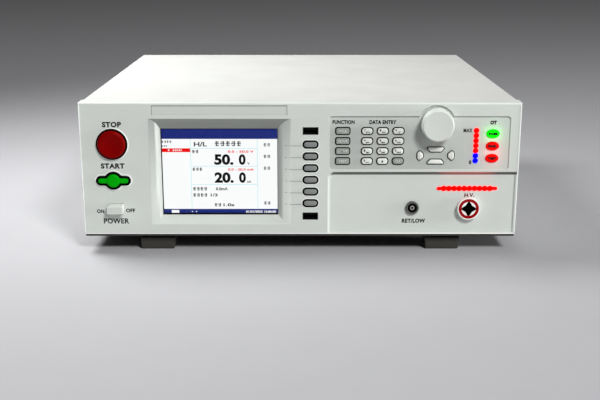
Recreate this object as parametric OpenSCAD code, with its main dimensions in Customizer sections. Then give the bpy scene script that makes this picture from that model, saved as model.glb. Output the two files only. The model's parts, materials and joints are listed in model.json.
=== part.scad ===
// Bench electrical safety tester: a 3U instrument with a keypad, a knob, a display and two test terminals.
// Millimetres. +X right, +Y to the rear, +Z up. The origin is on the bench, under the middle of the tester.
// Heights on the panel count from the bezel's lower edge, and depths from the bezel's face.

/* [Case] */
// Width of the front bezel and of the cover
case_w = 430; // [420:1:480]
// Height of the front bezel, three rack units
case_h = 132.5; // [131:0.5:150]
// Depth from the bezel's face to the rear panel's outer face
case_d = 400; // [360:1:480]
// Thickness of the cover, sub-panel and rear panel sheet
sheet_t = 1.5; // [1:0.1:2]
// Thickness of the chassis tray sheet
tray_t = 2; // [1.5:0.1:2.5]
// Height of the tray's upturned flanges
flange_h = 14; // [10:0.5:20]
// Outer radius of the cover's folded upper edges
cover_r = 3; // [2.2:0.1:6]
// Clearance between sheets that slide past each other at assembly
sheet_fit = 0.3; // [0.1:0.05:0.6]
// Length of a side vent slot
vent_l = 34; // [20:1:50]
// Width of a side vent slot
vent_w = 3.2; // [2:0.1:5]
// Number of vent slots on each side
vent_count = 12; // [4:1:18]
// Distance between vent slots
vent_pitch = 8; // [6:0.5:12]

/* [Bezel] */
// Depth of the bezel's rim
bezel_d = 18; // [17.5:0.5:24]
// Thickness of the bezel's front wall
wall_t = 3; // [2.6:0.1:3.4]
// Thickness of the bezel's rim
rim_t = 3; // [2:0.1:4]
// Radius of the bezel's upright and upper front edges
edge_r = 2; // [1:0.1:2.2]
// Radius of the bezel's lower front edge
lower_r = 1; // [0.5:0.1:1.5]
// Radius of the screw bosses behind the bezel
boss_r = 4; // [3.4:0.1:5]
// Distance of the screw bosses from the bezel's edges
boss_inset = 9; // [8:0.5:12]

/* [Feet] */
// Height of the rubber foot block
foot_h = 12.6; // [8:0.1:20]
// Width of the foot block at its top
foot_w = 35.2; // [24:0.1:45]
// Depth of the foot block
foot_d = 34; // [24:0.5:45]
// Taper of each side of the foot block towards the bench
foot_taper = 1.2; // [0:0.1:3]
// Chamfer round the bottom of the foot block
foot_chamfer = 1.5; // [0.5:0.1:3]
// Radius of the round neck between foot and tray
neck_r = 3.6; // [3:0.1:8]
// Height of the round neck
neck_h = 3.9; // [2:0.1:8]
// Distance of the feet's middles from the sides of the cover
foot_in = 71.3; // [40:0.1:115]
// Distance of a foot's outer face from the front and rear faces
foot_inset = 8; // [4:0.5:20]

/* [Screws] */
// Radius of the screw shank
screw_r = 1.95; // [1.5:0.05:2.4]
// Length of the screw shank
screw_l = 10; // [9:0.5:12]
// Radius of the pan head
head_r = 3.5; // [3:0.1:4.5]
// Height of the pan head
head_h = 2.2; // [1.5:0.1:3]
// Clearance round a screw shank in a plain hole
screw_gap = 0.25; // [0.1:0.05:0.6]
// Clearance round a screw shank in the piece it is driven into
thread_gap = 0.05; // [0.02:0.01:0.1]

/* [Display] */
// Distance of the display opening from the bezel's left edge
display_in = 66.9; // [62:0.1:74]
// Panel height left below the display opening
display_low = 10.2; // [8:0.1:14]
// Panel height left above the display opening
display_high = 15.6; // [15:0.1:20]
// Depth of the sloped surround
funnel_d = 8; // [6:0.1:8.4]
// Run of the curved slope at the left
left_run = 10.4; // [8:0.1:14]
// Run of the curved slope at the right
right_run = 13; // [8:0.1:16]
// Run of the flat slope at the top
top_run = 11.1; // [8:0.1:14]
// Run of the flat slope at the bottom
bottom_run = 7.8; // [6:0.1:12]
// Straight depth between the slopes and the window
throat_d = 1; // [0.6:0.1:1.4]
// Thickness of the clear window
window_t = 2; // [1:0.1:2.5]
// How far the window reaches behind the surround
window_lap = 3; // [1.5:0.1:4]
// Width of the metal frame of the display module seen through the window
lcd_frame = 1.2; // [0.8:0.1:2]
// How far the display module reaches past the window opening
lcd_lap = 6; // [4:0.1:8]
// Depth of the nameplate recess
plate_d = 0.8; // [0.4:0.1:1.2]
// Distance of the bare nameplate's ends from the ends of the display opening
plate_in = 4.4; // [1:0.1:15]
// Height of the bare nameplate
plate_h = 8.8; // [6:0.1:9.4]
// Panel height left above the nameplate recess
plate_top = 3; // [2.6:0.1:4]

/* [Soft keys and ports] */
// Distance from the display opening to the middle of the soft keys
soft_in = 18.6; // [14:0.1:24]
// Distance from the middle of the soft keys to the keypad recess
soft_out = 18.6; // [16:0.1:22]
// How much further a port is from its soft key than the next soft key
port_space = 1.515; // [1:0.005:3]
// Width of a soft key cap
soft_w = 13.5; // [11:0.1:14]
// Height of a soft key cap
soft_h = 5.8; // [5:0.1:6.4]
// Gap round a soft key cap
soft_gap = 1.15; // [0.6:0.05:1.2]
// Distance of the upper port below the bezel's upper edge
port_top = 27.6; // [25:0.1:29]
// Height of the lower port above the bezel's lower edge
port_z = 18.85; // [17:0.1:20]
// Width of the port slot
port_w = 15.4; // [14.4:0.1:16]
// Height of the port slot
port_h = 7.4; // [6.8:0.1:8]
// Length of the port shells
port_l = 12; // [8:0.5:14]

/* [Keypad recess] */
// Distance of the keypad recess from the bezel's right edge
keypad_in = 10.4; // [8:0.1:13]
// Width of the keypad recess
keypad_w = 175.7; // [174:0.1:180]
// Panel height left above the keypad recess
keypad_top = 13.3; // [12:0.1:14]
// Depth of the keypad recess
keypad_d = 1.5; // [0.8:0.1:1.6]
// Corner radius of the keypad recess
keypad_r = 3; // [1:0.1:6]
// Space between keys above each other
row_space = 3; // [2.4:0.1:3.4]
// First row of keys below the recess's upper edge
row_top = 14.5; // [14:0.1:16]
// Last row of keys above the recess's lower edge
row_low = 8.3; // [7:0.1:9]
// Function keys from the recess's left edge
function_x = 12.8; // [11:0.1:14]
// First column of number keys from the recess's left edge
number_x = 36.6; // [35:0.1:38]
// Space between number keys side by side
number_space = 3.7; // [3.2:0.1:4.2]
// Width of a function key
function_w = 14.4; // [12:0.1:15]
// Corner radius of a function key
function_r = 1.6; // [0.8:0.1:3]
// Width of a number key
number_w = 11.5; // [10:0.1:12]
// Corner radius of a number key
number_r = 3; // [1:0.1:3.2]
// Height of the function and number keys
key_h = 7; // [6.4:0.1:7.6]
// Gap round a function or number key
key_gap = 0.7; // [0.3:0.05:0.8]
// How far the keys stand out of the face they sit in
key_proud = 1.8; // [1:0.1:2.5]
// Travel of a key
key_travel = 0.8; // [0.4:0.1:1]
// Thickness of a key's retaining flange
key_flange_t = 1.2; // [0.8:0.1:1.4]
// Gap between the retaining flanges of keys above each other
flange_gap = 0.4; // [0.2:0.05:0.6]
// Gap between a retaining flange and the panel behind which it rests
rest_gap = 0.3; // [0.2:0.05:0.4]

/* [Arrow keys and knob] */
// Middle of the knob and of the arrow keys from the recess's right edge
knob_in = 71.8; // [70:0.1:74]
// Middle of the arrow keys below the recess's upper edge
arrow_down = 39; // [38:0.1:39.4]
// Distance of the upper and lower arrow keys from the middle
arrow_dz = 6.95; // [6.6:0.05:7.2]
// Distance of the left and right arrow keys from the middle
arrow_dx = 15.8; // [15.2:0.1:16.6]
// Half length of an upper or lower arrow hole
arrow_wide = 9.45; // [8.6:0.05:9.8]
// Half length of a left or right arrow hole
arrow_tall = 6.15; // [5.4:0.05:6.6]
// Gap round an arrow key
arrow_gap = 1.1; // [0.6:0.05:1.2]
// Knob axis below the recess's upper edge
knob_down = 7.4; // [7:0.1:8]
// Radius of the knob
knob_r = 15.8; // [12:0.1:16.4]
// How far the knob stands out of the bezel's face
knob_proud = 13; // [10:0.1:18]
// Radius of the knob's front edge
knob_edge = 2; // [1:0.1:3]
// Gap between the knob and the wall of the recess round it
knob_clear = 2.4; // [1:0.1:2.6]
// Radius of the encoder shaft
shaft_r = 3; // [2.5:0.05:3.2]
// Clearance of the shaft in its bushing
shaft_fit = 0.04; // [0.02:0.01:0.08]
// Wall of the encoder bushing
bushing_wall = 0.9; // [0.7:0.05:1.2]

/* [Lamps] */
// Lamp column from the recess's right edge
led_in = 32.6; // [31:0.1:34]
// Top lamp of the column below the recess's upper edge
led_top = 14.1; // [13:0.1:15]
// Space between lamps of the column
led_space = 0.3; // [0.25:0.05:1]
// Radius of a lamp of the column
led_r = 2.35; // [1.5:0.05:2.5]
// Number of red lamps in the column
red_count = 5; // [1:1:5]
// Number of blue lamps below them
blue_count = 2; // [1:1:2]
// Oval lamps from the recess's right edge
oval_in = 16.5; // [14:0.1:17]
// Top oval lamp below the recess's upper edge
oval_top = 17.2; // [15:0.1:18]
// Distance between the oval lamps
oval_pitch = 12.25; // [11:0.05:12.6]
// Width of an oval lamp
oval_w = 13; // [11:0.1:13.4]
// Height of an oval lamp
oval_h = 8.8; // [7:0.1:9.4]
// How far the lamps stand out of the recess floor
lamp_proud = 1.2; // [0.6:0.1:2]
// Gap round a lamp
lamp_gap = 0.1; // [0.05:0.05:0.3]

/* [Terminal recess] */
// Depth of the terminal recess
term_d = 3.5; // [2:0.1:4]
// Width of the bevels round the terminal recess
term_bevel = 3.5; // [2:0.1:4]
// Corner radius at the floor of the terminal recess
term_r = 3; // [1:0.1:6]
// Panel left between keypad recess and terminal recess
term_rib = 2.4; // [1.6:0.1:3]
// How far the terminal recess reaches past the keypad recess's left edge
term_left = 1.4; // [0.5:0.1:3]
// Height of the lip below the terminal recess
term_lip = 1.6; // [1:0.1:2.4]
// Thickness of the bezel behind the terminal recess
backing_t = 2.5; // [2:0.1:3]
// How far the lamp bar and the terminals sit above the middle of the recess
term_raise = 3.8; // [0:0.1:6]
// Height of the lamp bar above the terminals
bar_up = 19.6; // [18:0.1:24]
// High-voltage terminal from the bezel's right edge
hv_in = 47.7; // [30:0.1:60]
// Return terminal from the high-voltage terminal
ret_in = 55.6; // [40:0.1:70]
// Outer radius of the high-voltage terminal's collar
collar_r = 11.1; // [10.2:0.1:12]
// How far the collar stands out of the recess floor
collar_proud = 5.5; // [3:0.1:8]
// Radius of the high-voltage terminal's barrel
barrel_r = 9.5; // [8.8:0.1:10]
// Length of the terminals behind the recess floor
barrel_l = 27; // [24:0.5:34]
// Rim of the collar outside the red ring
collar_rim = 1.3; // [0.8:0.1:1.7]
// Radial width of the red ring
ring_w = 2.1; // [1.2:0.1:2.2]
// Thickness of the red ring
ring_t = 1.3; // [0.6:0.1:2]
// Reach of the star-shaped plug cavity
star_r = 7.2; // [6:0.1:7.2]
// Depth of the star-shaped plug cavity
star_d = 12; // [8:0.5:14]
// Radius of the plug contact bores
contact_r = 2; // [1.95:0.01:2.05]
// Radius of the return terminal's flange
ret_r = 6.6; // [6:0.1:8]
// Radius of the return terminal's barrel
ret_barrel_r = 5; // [4.4:0.1:5.4]
// How far the return terminal stands out of the recess floor
ret_proud = 3; // [2:0.1:5]
// Middle of the high-voltage lamp bar from the bezel's right edge
bar_in = 49.5; // [40:0.1:60]
// Length of the lamp bar
bar_l = 60; // [56:0.5:64]
// Height of the lamp bar between its lamps
bar_h = 3.2; // [2:0.1:4]
// Number of lamps in the bar
bar_count = 10; // [4:1:10]
// Distance between the lamps of the bar
bar_pitch = 5.08; // [5.02:0.02:5.4]
// Radius of the bar's round lenses
bar_r = 2.75; // [2.5:0.05:2.9]

/* [Buttons] */
// Stop and start buttons from the bezel's left edge
button_in = 31.3; // [26:0.1:36]
// Stop button below the bezel's upper edge
stop_top = 40.7; // [38:0.1:42]
// Start button below the bezel's upper edge
start_top = 77.1; // [75:0.1:80]
// Radius of the stop button
stop_r = 13.8; // [10:0.1:14.6]
// How far the stop button stands out
stop_proud = 5; // [4:0.1:9]
// Width of the black rim round the stop button
stop_rim = 1.6; // [1.5:0.1:2.4]
// Radius of the start button's round middle
start_r = 6.9; // [6:0.1:8]
// Length of the start button's bar
start_w = 30.1; // [26:0.1:32]
// Height of the start button's bar
start_h = 5.5; // [4:0.1:6]
// How far the start button stands out
start_proud = 3.6; // [3:0.1:5]
// Width of the black rim round the start button
start_rim = 2.1; // [1.6:0.1:2.6]
// Travel of the stop and start buttons
button_travel = 3; // [1:0.1:3]
// Gap round a button in its housing
button_gap = 0.3; // [0.2:0.05:0.4]
// Wall of a switch housing behind the panel
housing_t = 0.9; // [0.7:0.1:1.2]
// Power button from the bezel's left edge
power_in = 32.8; // [24:0.1:40]
// Height of the power button above the bezel's lower edge
power_z = 27.3; // [24:0.1:30]
// Width of the power button
power_w = 16; // [12:0.1:18]
// Height of the power button
power_h = 8.4; // [7:0.1:10]
// Corner radius of the power button
power_r = 1.4; // [0.6:0.1:3]
// How far the power button stands out when off
power_proud = 9; // [6:0.1:12]
// Travel of the power button
power_travel = 3.5; // [2:0.1:4]

/* [Inside] */
// Thickness of the circuit boards
board_t = 1.6; // [1:0.1:1.8]
// Gap between the tray's left flange and the main board
main_in = 16.2; // [5:0.1:30]
// Gap between the main board and the transformer's core
main_gap = 27; // [20:0.5:60]
// Depth at which the main board starts behind the bezel's face
main_front = 65; // [40:1:90]
// Height of the board standoffs
standoff_h = 8; // [5:0.5:12]
// Radius of the board standoffs
standoff_r = 3; // [2.4:0.1:4]
// Width of the transformer's core
core_w = 96; // [80:1:100]
// Height of the transformer's core
core_h = 80; // [70:1:96]
// Thickness of the transformer's core
core_t = 45; // [30:1:50]
// Gap between the tray's right flange and the transformer's core
core_in = 33.2; // [10:0.1:50]
// How far the transformer sits behind the middle of the case
core_back = 15; // [0:1:30]
// Gap between the tray's left flange and the power supply
supply_in = 19.2; // [5:0.1:30]
// Gap between the power supply and the tray's rear flange
supply_rear = 12; // [8:0.5:20]
// Gap between the main board and the power supply
supply_gap = 9.5; // [5:0.5:30]
// Width of the power supply
supply_w = 84; // [60:1:90]
// Depth of the power supply
supply_d = 120; // [90:1:130]
// Height of the power supply
supply_h = 40; // [30:1:50]

/* [Rear panel] */
// Size of the square fan
fan_w = 80; // [70:1:84]
// Depth of the fan
fan_d = 25; // [20:0.5:30]
// Middle of the fan from the right side
fan_in = 75; // [60:1:90]
// Number of fan blades
blade_count = 7; // [5:1:9]
// Radius of the rotor's hub
hub_r = 16; // [12:0.5:18]
// Gap between blade tips and the fan frame
tip_gap = 1; // [0.5:0.1:1.5]
// Middle of the mains inlet from the left side
inlet_in = 55; // [40:1:70]
// Width of the inlet's flange
inlet_w = 50; // [46:0.5:56]
// Height of the inlet's flange
inlet_h = 28; // [27:0.5:32]
// Height of the inlet above the bezel's lower edge
inlet_z = 38; // [34:0.5:60]
// Height of the rear signal connectors above the bezel's lower edge
signal_z = 90; // [80:0.5:100]
// Place of the small signal connector, across
signal_small_x = -40; // [-60:1:-30]
// Place of the large signal connector, across
signal_large_x = 35; // [20:1:45]
// Ground post from the middle of the mains inlet
ground_in = 52; // [40:1:70]
// How far the ground post stands out of the rear panel
ground_proud = 12; // [10:0.5:20]
// Radius of the ground post's knurled head
ground_r = 5.5; // [4.5:0.1:7]

/* [Hidden] */
$fn = 64;
cut = 1;                                     // how far a cut runs past the face it opens
total_d = knob_proud + case_d + ground_proud;
front_y = knob_proud - total_d / 2;          // the bezel's face
rear_y = front_y + case_d;                   // the rear panel's outer face
foot_top = foot_h + neck_h;
panel_z = foot_top + tray_t;                 // the bezel's lower edge, on the tray
inner_w = case_w - 2 * sheet_t - 2 * sheet_fit;
inner_h = case_h - sheet_t - sheet_fit;

keypad_x1 = case_w / 2 - keypad_in;
keypad_x0 = keypad_x1 - keypad_w;
soft_x = keypad_x0 - soft_out;

display_x0 = -case_w / 2 + display_in;
display_x1 = soft_x - soft_in;
display_w = display_x1 - display_x0;
display_x = (display_x0 + display_x1) / 2;
display_z1 = case_h - display_high;
plate_w = display_w - 2 * plate_in;
throat_x0 = display_x0 + left_run;
throat_x1 = display_x1 - right_run;
throat_z0 = display_low + bottom_run;
throat_z1 = display_z1 - top_run;
window_y = funnel_d + throat_d;
lcd_y = window_y + window_t;
surround_wall = 2;
screen_sunk = 0.6;                           // screen below the module's metal frame
slope_lead = 8;                              // start angle of the curved slopes, in degrees

row_pitch = key_h + row_space;
number_pitch = number_w + number_space;
key_flange = (row_space - flange_gap) / 2 - key_gap;
keypad_h = row_top + 3 * row_pitch + row_low;
keypad_z1 = case_h - keypad_top;
keypad_z0 = keypad_z1 - keypad_h;
row_z = [for (i = [0:3]) keypad_z1 - row_top - i * row_pitch];
knob_x = keypad_x1 - knob_in;
knob_z = keypad_z1 - knob_down;
bulge_r = knob_r + knob_clear;
knob_gap = 0.5;                              // between the knob's back and the recess floor
arrow_z = keypad_z1 - arrow_down;
// Half widths of an arrow hole's outer and inner side, and their distances from its widest line
arrow_outer = 7.8;
arrow_inner = 5.6;
arrow_out = 2.4;
arrow_in = 4.2;
side_outer = 3.2;
side_inner = 2.2;
side_out = 3.2;
side_in = 4.7;
led_x = keypad_x1 - led_in;
oval_x = keypad_x1 - oval_in;

term_x0 = keypad_x0 - term_left;
term_z1 = keypad_z0 - term_rib;
backing_y = term_d + backing_t;
group_z = (term_lip + term_z1) / 2 + term_raise;
term_z = group_z - bar_up / 2;
bar_z = group_z + bar_up / 2;
bar_x = case_w / 2 - bar_in;
hv_x = case_w / 2 - hv_in;
ret_x = hv_x - ret_in;
ring_r = collar_r - collar_rim;
ring_fit = 0.05;
nut_t = 4;                                   // thickness of the terminals' nuts
nut_room = 4;                                // clearance of the sub-panel's holes round the terminals
contact_end = 3;                             // closed length behind a contact bore
collar_y = term_d - collar_proud;            // the collar's front face
button_x = -case_w / 2 + button_in;
power_x = -case_w / 2 + power_in;
stop_z = case_h - stop_top;
start_z = case_h - start_top;
button_stem = 9;
housing_back = button_stem + button_travel + rest_gap;
power_flange = 1.5;
upper_port_z = case_h - port_top;
port_y = wall_t + 0.2;
soft_count = 6;
soft_pitch = (upper_port_z - port_z - 2 * port_space) / (soft_count + 1);

key_back = wall_t + rest_gap + key_flange_t;
switch_y = key_back + key_travel + rest_gap;
switch_h = 3.4;
board_y = switch_y + switch_h;
keypad_switch = 6;
board_edge = 3;                              // keypad board inside the recess's outline
board_step = 17;                             // how much lower the board is beside the function keys
board_spacer_z = keypad_z0 + 7;
spacer_r = 3;
encoder_w = 12;
bushing_y = -2;                              // front end of the encoder bushing
shaft_top = bushing_y - 7;
shaft_back = board_y - 0.5;
boss_x = case_w / 2 - boss_inset;
boss_z = [boss_inset, case_h - boss_inset];
bushing_r = shaft_r + shaft_fit + bushing_wall;

foot_x = case_w / 2 - foot_in;
foot_ys = [front_y + foot_inset + foot_d / 2, rear_y - foot_inset - foot_d / 2];
side_screw_in = 40;
side_screws = [side_screw_in, case_d / 2, case_d - side_screw_in];
side_screw_z = flange_h / 2;
rear_screw_in = 25;
rear_screws = [for (i = [-1, -1 / 3, 1 / 3, 1]) i * (case_w / 2 - rear_screw_in)];
flange_x = case_w / 2 - sheet_t - sheet_fit; // the outer face of the tray's side flanges
tray_rear = case_d - sheet_t - tray_t;       // the inner face of the tray's rear flange
tray_edge = 0.8;                             // how far the tray stays inside the case's outline
vent_in = 60;                                // last vent slot from the rear panel
vent_rows = 10;                              // space between the two rows of vents
tray_slot_w = 4;
tray_slot_l = 70;
tray_slot_pitch = 14;

inside_x = flange_x - tray_t;
board_posts = [[-1, -1], [1, -1], [-1, 1], [1, 1]];
post_inset = 8;
core_x = inside_x - core_in - core_w / 2;
core_y = case_d / 2 + core_back;
supply_x = supply_in + supply_w / 2 - inside_x;
supply_y = tray_rear - supply_rear - supply_d / 2;
main_x0 = main_in - inside_x;
main_x1 = core_x - core_w / 2 - main_gap;
main_w = main_x1 - main_x0;
main_x = (main_x0 + main_x1) / 2;
main_d = supply_y - supply_d / 2 - supply_gap - main_front;
main_y = main_front + main_d / 2;

fan_x = case_w / 2 - fan_in;
fan_z = case_h / 2;
fan_rim = 2;
fan_r = fan_w / 2 - fan_rim;
fan_y = case_d - sheet_t - fan_d;
fan_corner = 4;
fan_hole_r = 2.15;
fan_hole_in = 4.5;
fan_pin_r = 2;
fan_pin_end = 6;                             // how much shorter the pin is than the fan
spider_t = 3;
spider_w = 4;
blade_t = 2;
blade_chord = 28;
blade_turn = 38;
blade_y0 = fan_y + spider_t + rest_gap;
blade_y1 = fan_y + fan_d - 1.5;
slot_gap = 2;                                // between the hub's shadow and the first air slot
slot_w = 3.4;
slot_pitch = 5.2;
guard_bar = 5;

inlet_x = -case_w / 2 + inlet_in;
inlet_t = 2.5;                               // thickness of the inlet's flange
inlet_core_w = 30;
inlet_core_h = 22;
inlet_core_l = 24;
cup_w = 24;
cup_h = 16.5;
cup_d = 16;
cup_corner = 4;
inlet_screw_x = 20;
inlet_screw_r = 1.75;
pin_w = 2;
pin_h = 4;
pin_l = 15;
pin_places = [[-7, -3.5], [7, -3.5], [0, 0.5]];
// Place across and width of the shell of each rear signal connector
connectors = [[signal_small_x, 17], [signal_large_x, 39]];
connector_h = 8.4;
connector_t = 1;
shell_out = 6;
shell_back = 10;                             // how far the connectors reach inside the case
ear_w = 7;                                   // connector flange beyond each end of the shell
ear_h = 12.5;
ear_hole_in = 3;
ear_hole_r = 1.6;
ground_x = inlet_x + ground_in;
ground_z = 30;
ground_stud_r = 3;
ground_nut_r = 6;
ground_bore_in = 4;
stud_back = 14;                              // how far the ground stud reaches inside the case

led_pitch = 2 * led_r + led_space;
red_z = [for (i = [0:red_count - 1]) keypad_z1 - led_top - i * led_pitch];
blue_z = [for (i = [0:blue_count - 1]) keypad_z1 - led_top - (red_count + i) * led_pitch];
soft_zs = [for (i = [1:soft_count]) upper_port_z - port_space - i * soft_pitch];
arrows = [["arrow_up", 0], ["arrow_right", 1], ["arrow_down", 2], ["arrow_left", 3]];
// Name, column and row of each number key
numbers = [
    ["key_7", 0, 0], ["key_8", 1, 0], ["key_9", 2, 0],
    ["key_4", 0, 1], ["key_5", 1, 1], ["key_6", 2, 1],
    ["key_1", 0, 2], ["key_2", 1, 2], ["key_3", 2, 2],
    ["key_0", 0, 3], ["key_point", 1, 3], ["key_clear", 2, 3],
];

panel_grey = [0.78, 0.80, 0.77];
shell_white = [0.90, 0.90, 0.86];
dark_steel = [0.20, 0.20, 0.19];
zinc = [0.72, 0.73, 0.74];
board_green = [0.05, 0.33, 0.20];
rubber_black = [0.10, 0.10, 0.09];
lamp_red = [0.85, 0.05, 0.04];
insulator_white = [0.92, 0.92, 0.90];

// Panel drawing in X and Z, from depth y0 to depth y1 behind the bezel's face
module panel_slab(y0, y1) {
    translate([0, front_y + y1, panel_z]) rotate([90, 0, 0]) linear_extrude(y1 - y0) children();
}

// Side drawing in Y and Z, from x0 to x1
module side_slab(x0, x1) {
    translate([x0, front_y, panel_z]) rotate([90, 0, 90]) linear_extrude(x1 - x0) children();
}

// Plan drawing in X and Y, from height z0 to height z1 above the bezel's lower edge
module plan_slab(z0, z1) {
    translate([0, front_y, panel_z + z0]) linear_extrude(z1 - z0) children();
}

// Plain box given by its low and high corners, in X, depth and height
module block(low, high) {
    translate([low[0], front_y + low[1], panel_z + low[2]])
        cube([high[0] - low[0], high[1] - low[1], high[2] - low[2]]);
}

// Round bar along the depth
module rod(x, z, r, y0, y1) {
    panel_slab(y0, y1) translate([x, z]) circle(r);
}

// Turned piece whose profile is in radius and height out of the bezel's face
module turned(x, z) {
    translate([x, front_y, panel_z + z]) rotate([90, 0, 0]) rotate_extrude() children();
}

module rect(x, z, w, h) {
    translate([x - w / 2, z - h / 2]) square([w, h]);
}

module round_rect(x, z, w, h, r) {
    rect(x, z, w - 2 * r, h);
    rect(x, z, w, h - 2 * r);
    for (sx = [-1, 1], sz = [-1, 1])
        translate([x + sx * (w / 2 - r), z + sz * (h / 2 - r)]) circle(r);
}

// Outline with round upper corners, from height z0 to height z1
module round_top(w, z0, z1, r) {
    rect(0, (z0 + z1 - r) / 2, w, z1 - z0 - r);
    rect(0, (z0 + z1) / 2, w - 2 * r, z1 - z0);
    for (s = [-1, 1]) translate([s * (w / 2 - r), z1 - r]) circle(r);
}

module stadium(x, z, w, h) {
    rect(x, z, w - h, h);
    for (s = [-1, 1]) translate([x + s * (w - h) / 2, z]) circle(h / 2);
}

// Radius of an arc that starts at an angle to the face and drops by deep over run
function slope_r(run, deep) = norm([run, deep]) / (2 * sin(atan2(deep, run) - slope_lead));

// Plan of one curved slope's material: a disc that bulges towards the opening
module slope_disc(x, run, deep, side) {
    r = slope_r(run, deep);
    translate([x - side * r * sin(slope_lead), r * cos(slope_lead)]) circle(r, $fn = 180);
}

// Six-sided outline of an arrow key: n points outwards, the long axis lies across
module arrow_outline(long, gap, outer, inner, out, in) {
    polygon([[-(long - 1.35 * gap), 0], [-(outer - 0.5 * gap), out - gap], [outer - 0.5 * gap, out - gap],
             [long - 1.35 * gap, 0], [inner - 0.5 * gap, gap - in], [-(inner - 0.5 * gap), gap - in]]);
}

// Outline of one of the four arrow keys, turned to its place; a larger gap makes it smaller
module arrow_shape(turn, gap) {
    upright = turn % 2 == 0;
    place = upright ? arrow_dz : arrow_dx;
    translate([knob_x, arrow_z]) rotate(-90 * turn) translate([0, place])
        if (upright) arrow_outline(arrow_wide, gap, arrow_outer, arrow_inner, arrow_out, arrow_in);
        else arrow_outline(arrow_tall, gap, side_outer, side_inner, side_out, side_in);
}

// Cap, stem and retaining flange of a key that stands out of the face at depth y
module key_solid(y) {
    panel_slab(y - key_proud, wall_t + rest_gap) children(0);
    panel_slab(wall_t + rest_gap, key_back) children(1);
}

// The steel tray that carries the whole instrument
module chassis_tray() {
    color(dark_steel) difference() {
        union() {
            block([-case_w / 2 + tray_edge, tray_edge, -tray_t],
                  [case_w / 2 - tray_edge, case_d - tray_edge, 0]);
            for (s = [-1, 1])
                block([s > 0 ? flange_x - tray_t : -flange_x, bezel_d + sheet_t + sheet_fit, 0],
                      [s > 0 ? flange_x : tray_t - flange_x, case_d - sheet_t - sheet_fit, flange_h]);
            block([-inside_x, tray_rear, 0], [inside_x, tray_rear + tray_t, flange_h]);
            standoffs(main_x, main_y, main_w, main_d);
            standoffs(supply_x, supply_y, supply_w, supply_d);
        }
        for (s = [-1, 1], y = side_screws)
            translate([s * (flange_x + cut), front_y + y, panel_z + side_screw_z]) rotate([0, -s * 90, 0])
                cylinder(r = screw_r + thread_gap, h = tray_t + 2 * cut);
        for (x = rear_screws)
            rod(x, side_screw_z, screw_r + thread_gap, tray_rear - cut, case_d);
        for (sx = [-1, 1], y = foot_ys)
            translate([sx * foot_x, y, foot_top - cut])
                cylinder(r = screw_r + screw_gap, h = tray_t + 2 * cut);
        // Air slots under the main board
        for (i = [-4:4])
            block([main_x + i * tray_slot_pitch - tray_slot_w / 2, main_y - tray_slot_l / 2, -tray_t - cut],
                  [main_x + i * tray_slot_pitch + tray_slot_w / 2, main_y + tray_slot_l / 2, cut]);
    }
}

module standoffs(x, y, w, d) {
    for (p = board_posts)
        translate([x + p[0] * (w / 2 - post_inset), front_y + y + p[1] * (d / 2 - post_inset), panel_z])
            cylinder(r = standoff_r, h = standoff_h);
}

// Folded cover: an upside-down U with vents near the rear of both sides
module top_cover() {
    color(shell_white) difference() {
        panel_slab(bezel_d, case_d) difference() {
            round_top(case_w, 0, case_h, cover_r);
            round_top(case_w - 2 * sheet_t, -cut, case_h - sheet_t, cover_r - sheet_t);
        }
        for (s = [-1, 1], y = side_screws)
            translate([s * (case_w / 2 + cut), front_y + y, panel_z + side_screw_z]) rotate([0, -s * 90, 0])
                cylinder(r = screw_r + screw_gap, h = sheet_t + 2 * cut);
        for (s = [-1, 1], i = [0:vent_count - 1], row = [0:1])
            side_slab(s > 0 ? case_w / 2 - sheet_t - cut : -case_w / 2 - cut,
                      s > 0 ? case_w / 2 + cut : -case_w / 2 + sheet_t + cut)
                translate([case_d - vent_in - i * vent_pitch,
                           case_h / 2 + (row - 0.5) * (vent_l + vent_rows)])
                    rotate(90) stadium(0, 0, vent_l, vent_w);
    }
}

module bezel_body() {
    intersection() {
        plan_slab(0, case_h) {
            rect(0, bezel_d / 2 + edge_r / 2, case_w, bezel_d - edge_r);
            rect(0, bezel_d / 2, case_w - 2 * edge_r, bezel_d);
            for (s = [-1, 1]) translate([s * (case_w / 2 - edge_r), edge_r]) circle(edge_r);
        }
        side_slab(-case_w / 2 - cut, case_w / 2 + cut) {
            translate([edge_r, 0]) square([bezel_d - edge_r, case_h]);
            translate([0, lower_r]) square([bezel_d, case_h - lower_r - edge_r]);
            translate([lower_r, 0]) square([edge_r, lower_r + cut]);
            translate([edge_r, case_h - edge_r]) circle(edge_r);
            translate([lower_r, lower_r]) circle(lower_r);
        }
    }
}

// Sloped surround: curved at the sides, flat at the top and the bottom, meeting in curved mitres
module display_cut() {
    back = window_y + cut;
    intersection() {
        plan_slab(0, case_h) difference() {
            translate([display_x0, -cut]) square([display_w, back + cut]);
            slope_disc(display_x0, left_run, funnel_d, 1);
            slope_disc(display_x1, right_run, funnel_d, -1);
            translate([display_x0 - cut, funnel_d]) square([left_run + cut, back]);
            translate([throat_x1, funnel_d]) square([right_run + cut, back]);
        }
        side_slab(display_x0 - cut, display_x1 + cut)
            polygon([[-cut, display_low - cut * bottom_run / funnel_d],
                     [funnel_d, throat_z0], [back, throat_z0], [back, throat_z1], [funnel_d, throat_z1],
                     [-cut, display_z1 + cut * top_run / funnel_d]]);
    }
}

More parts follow.
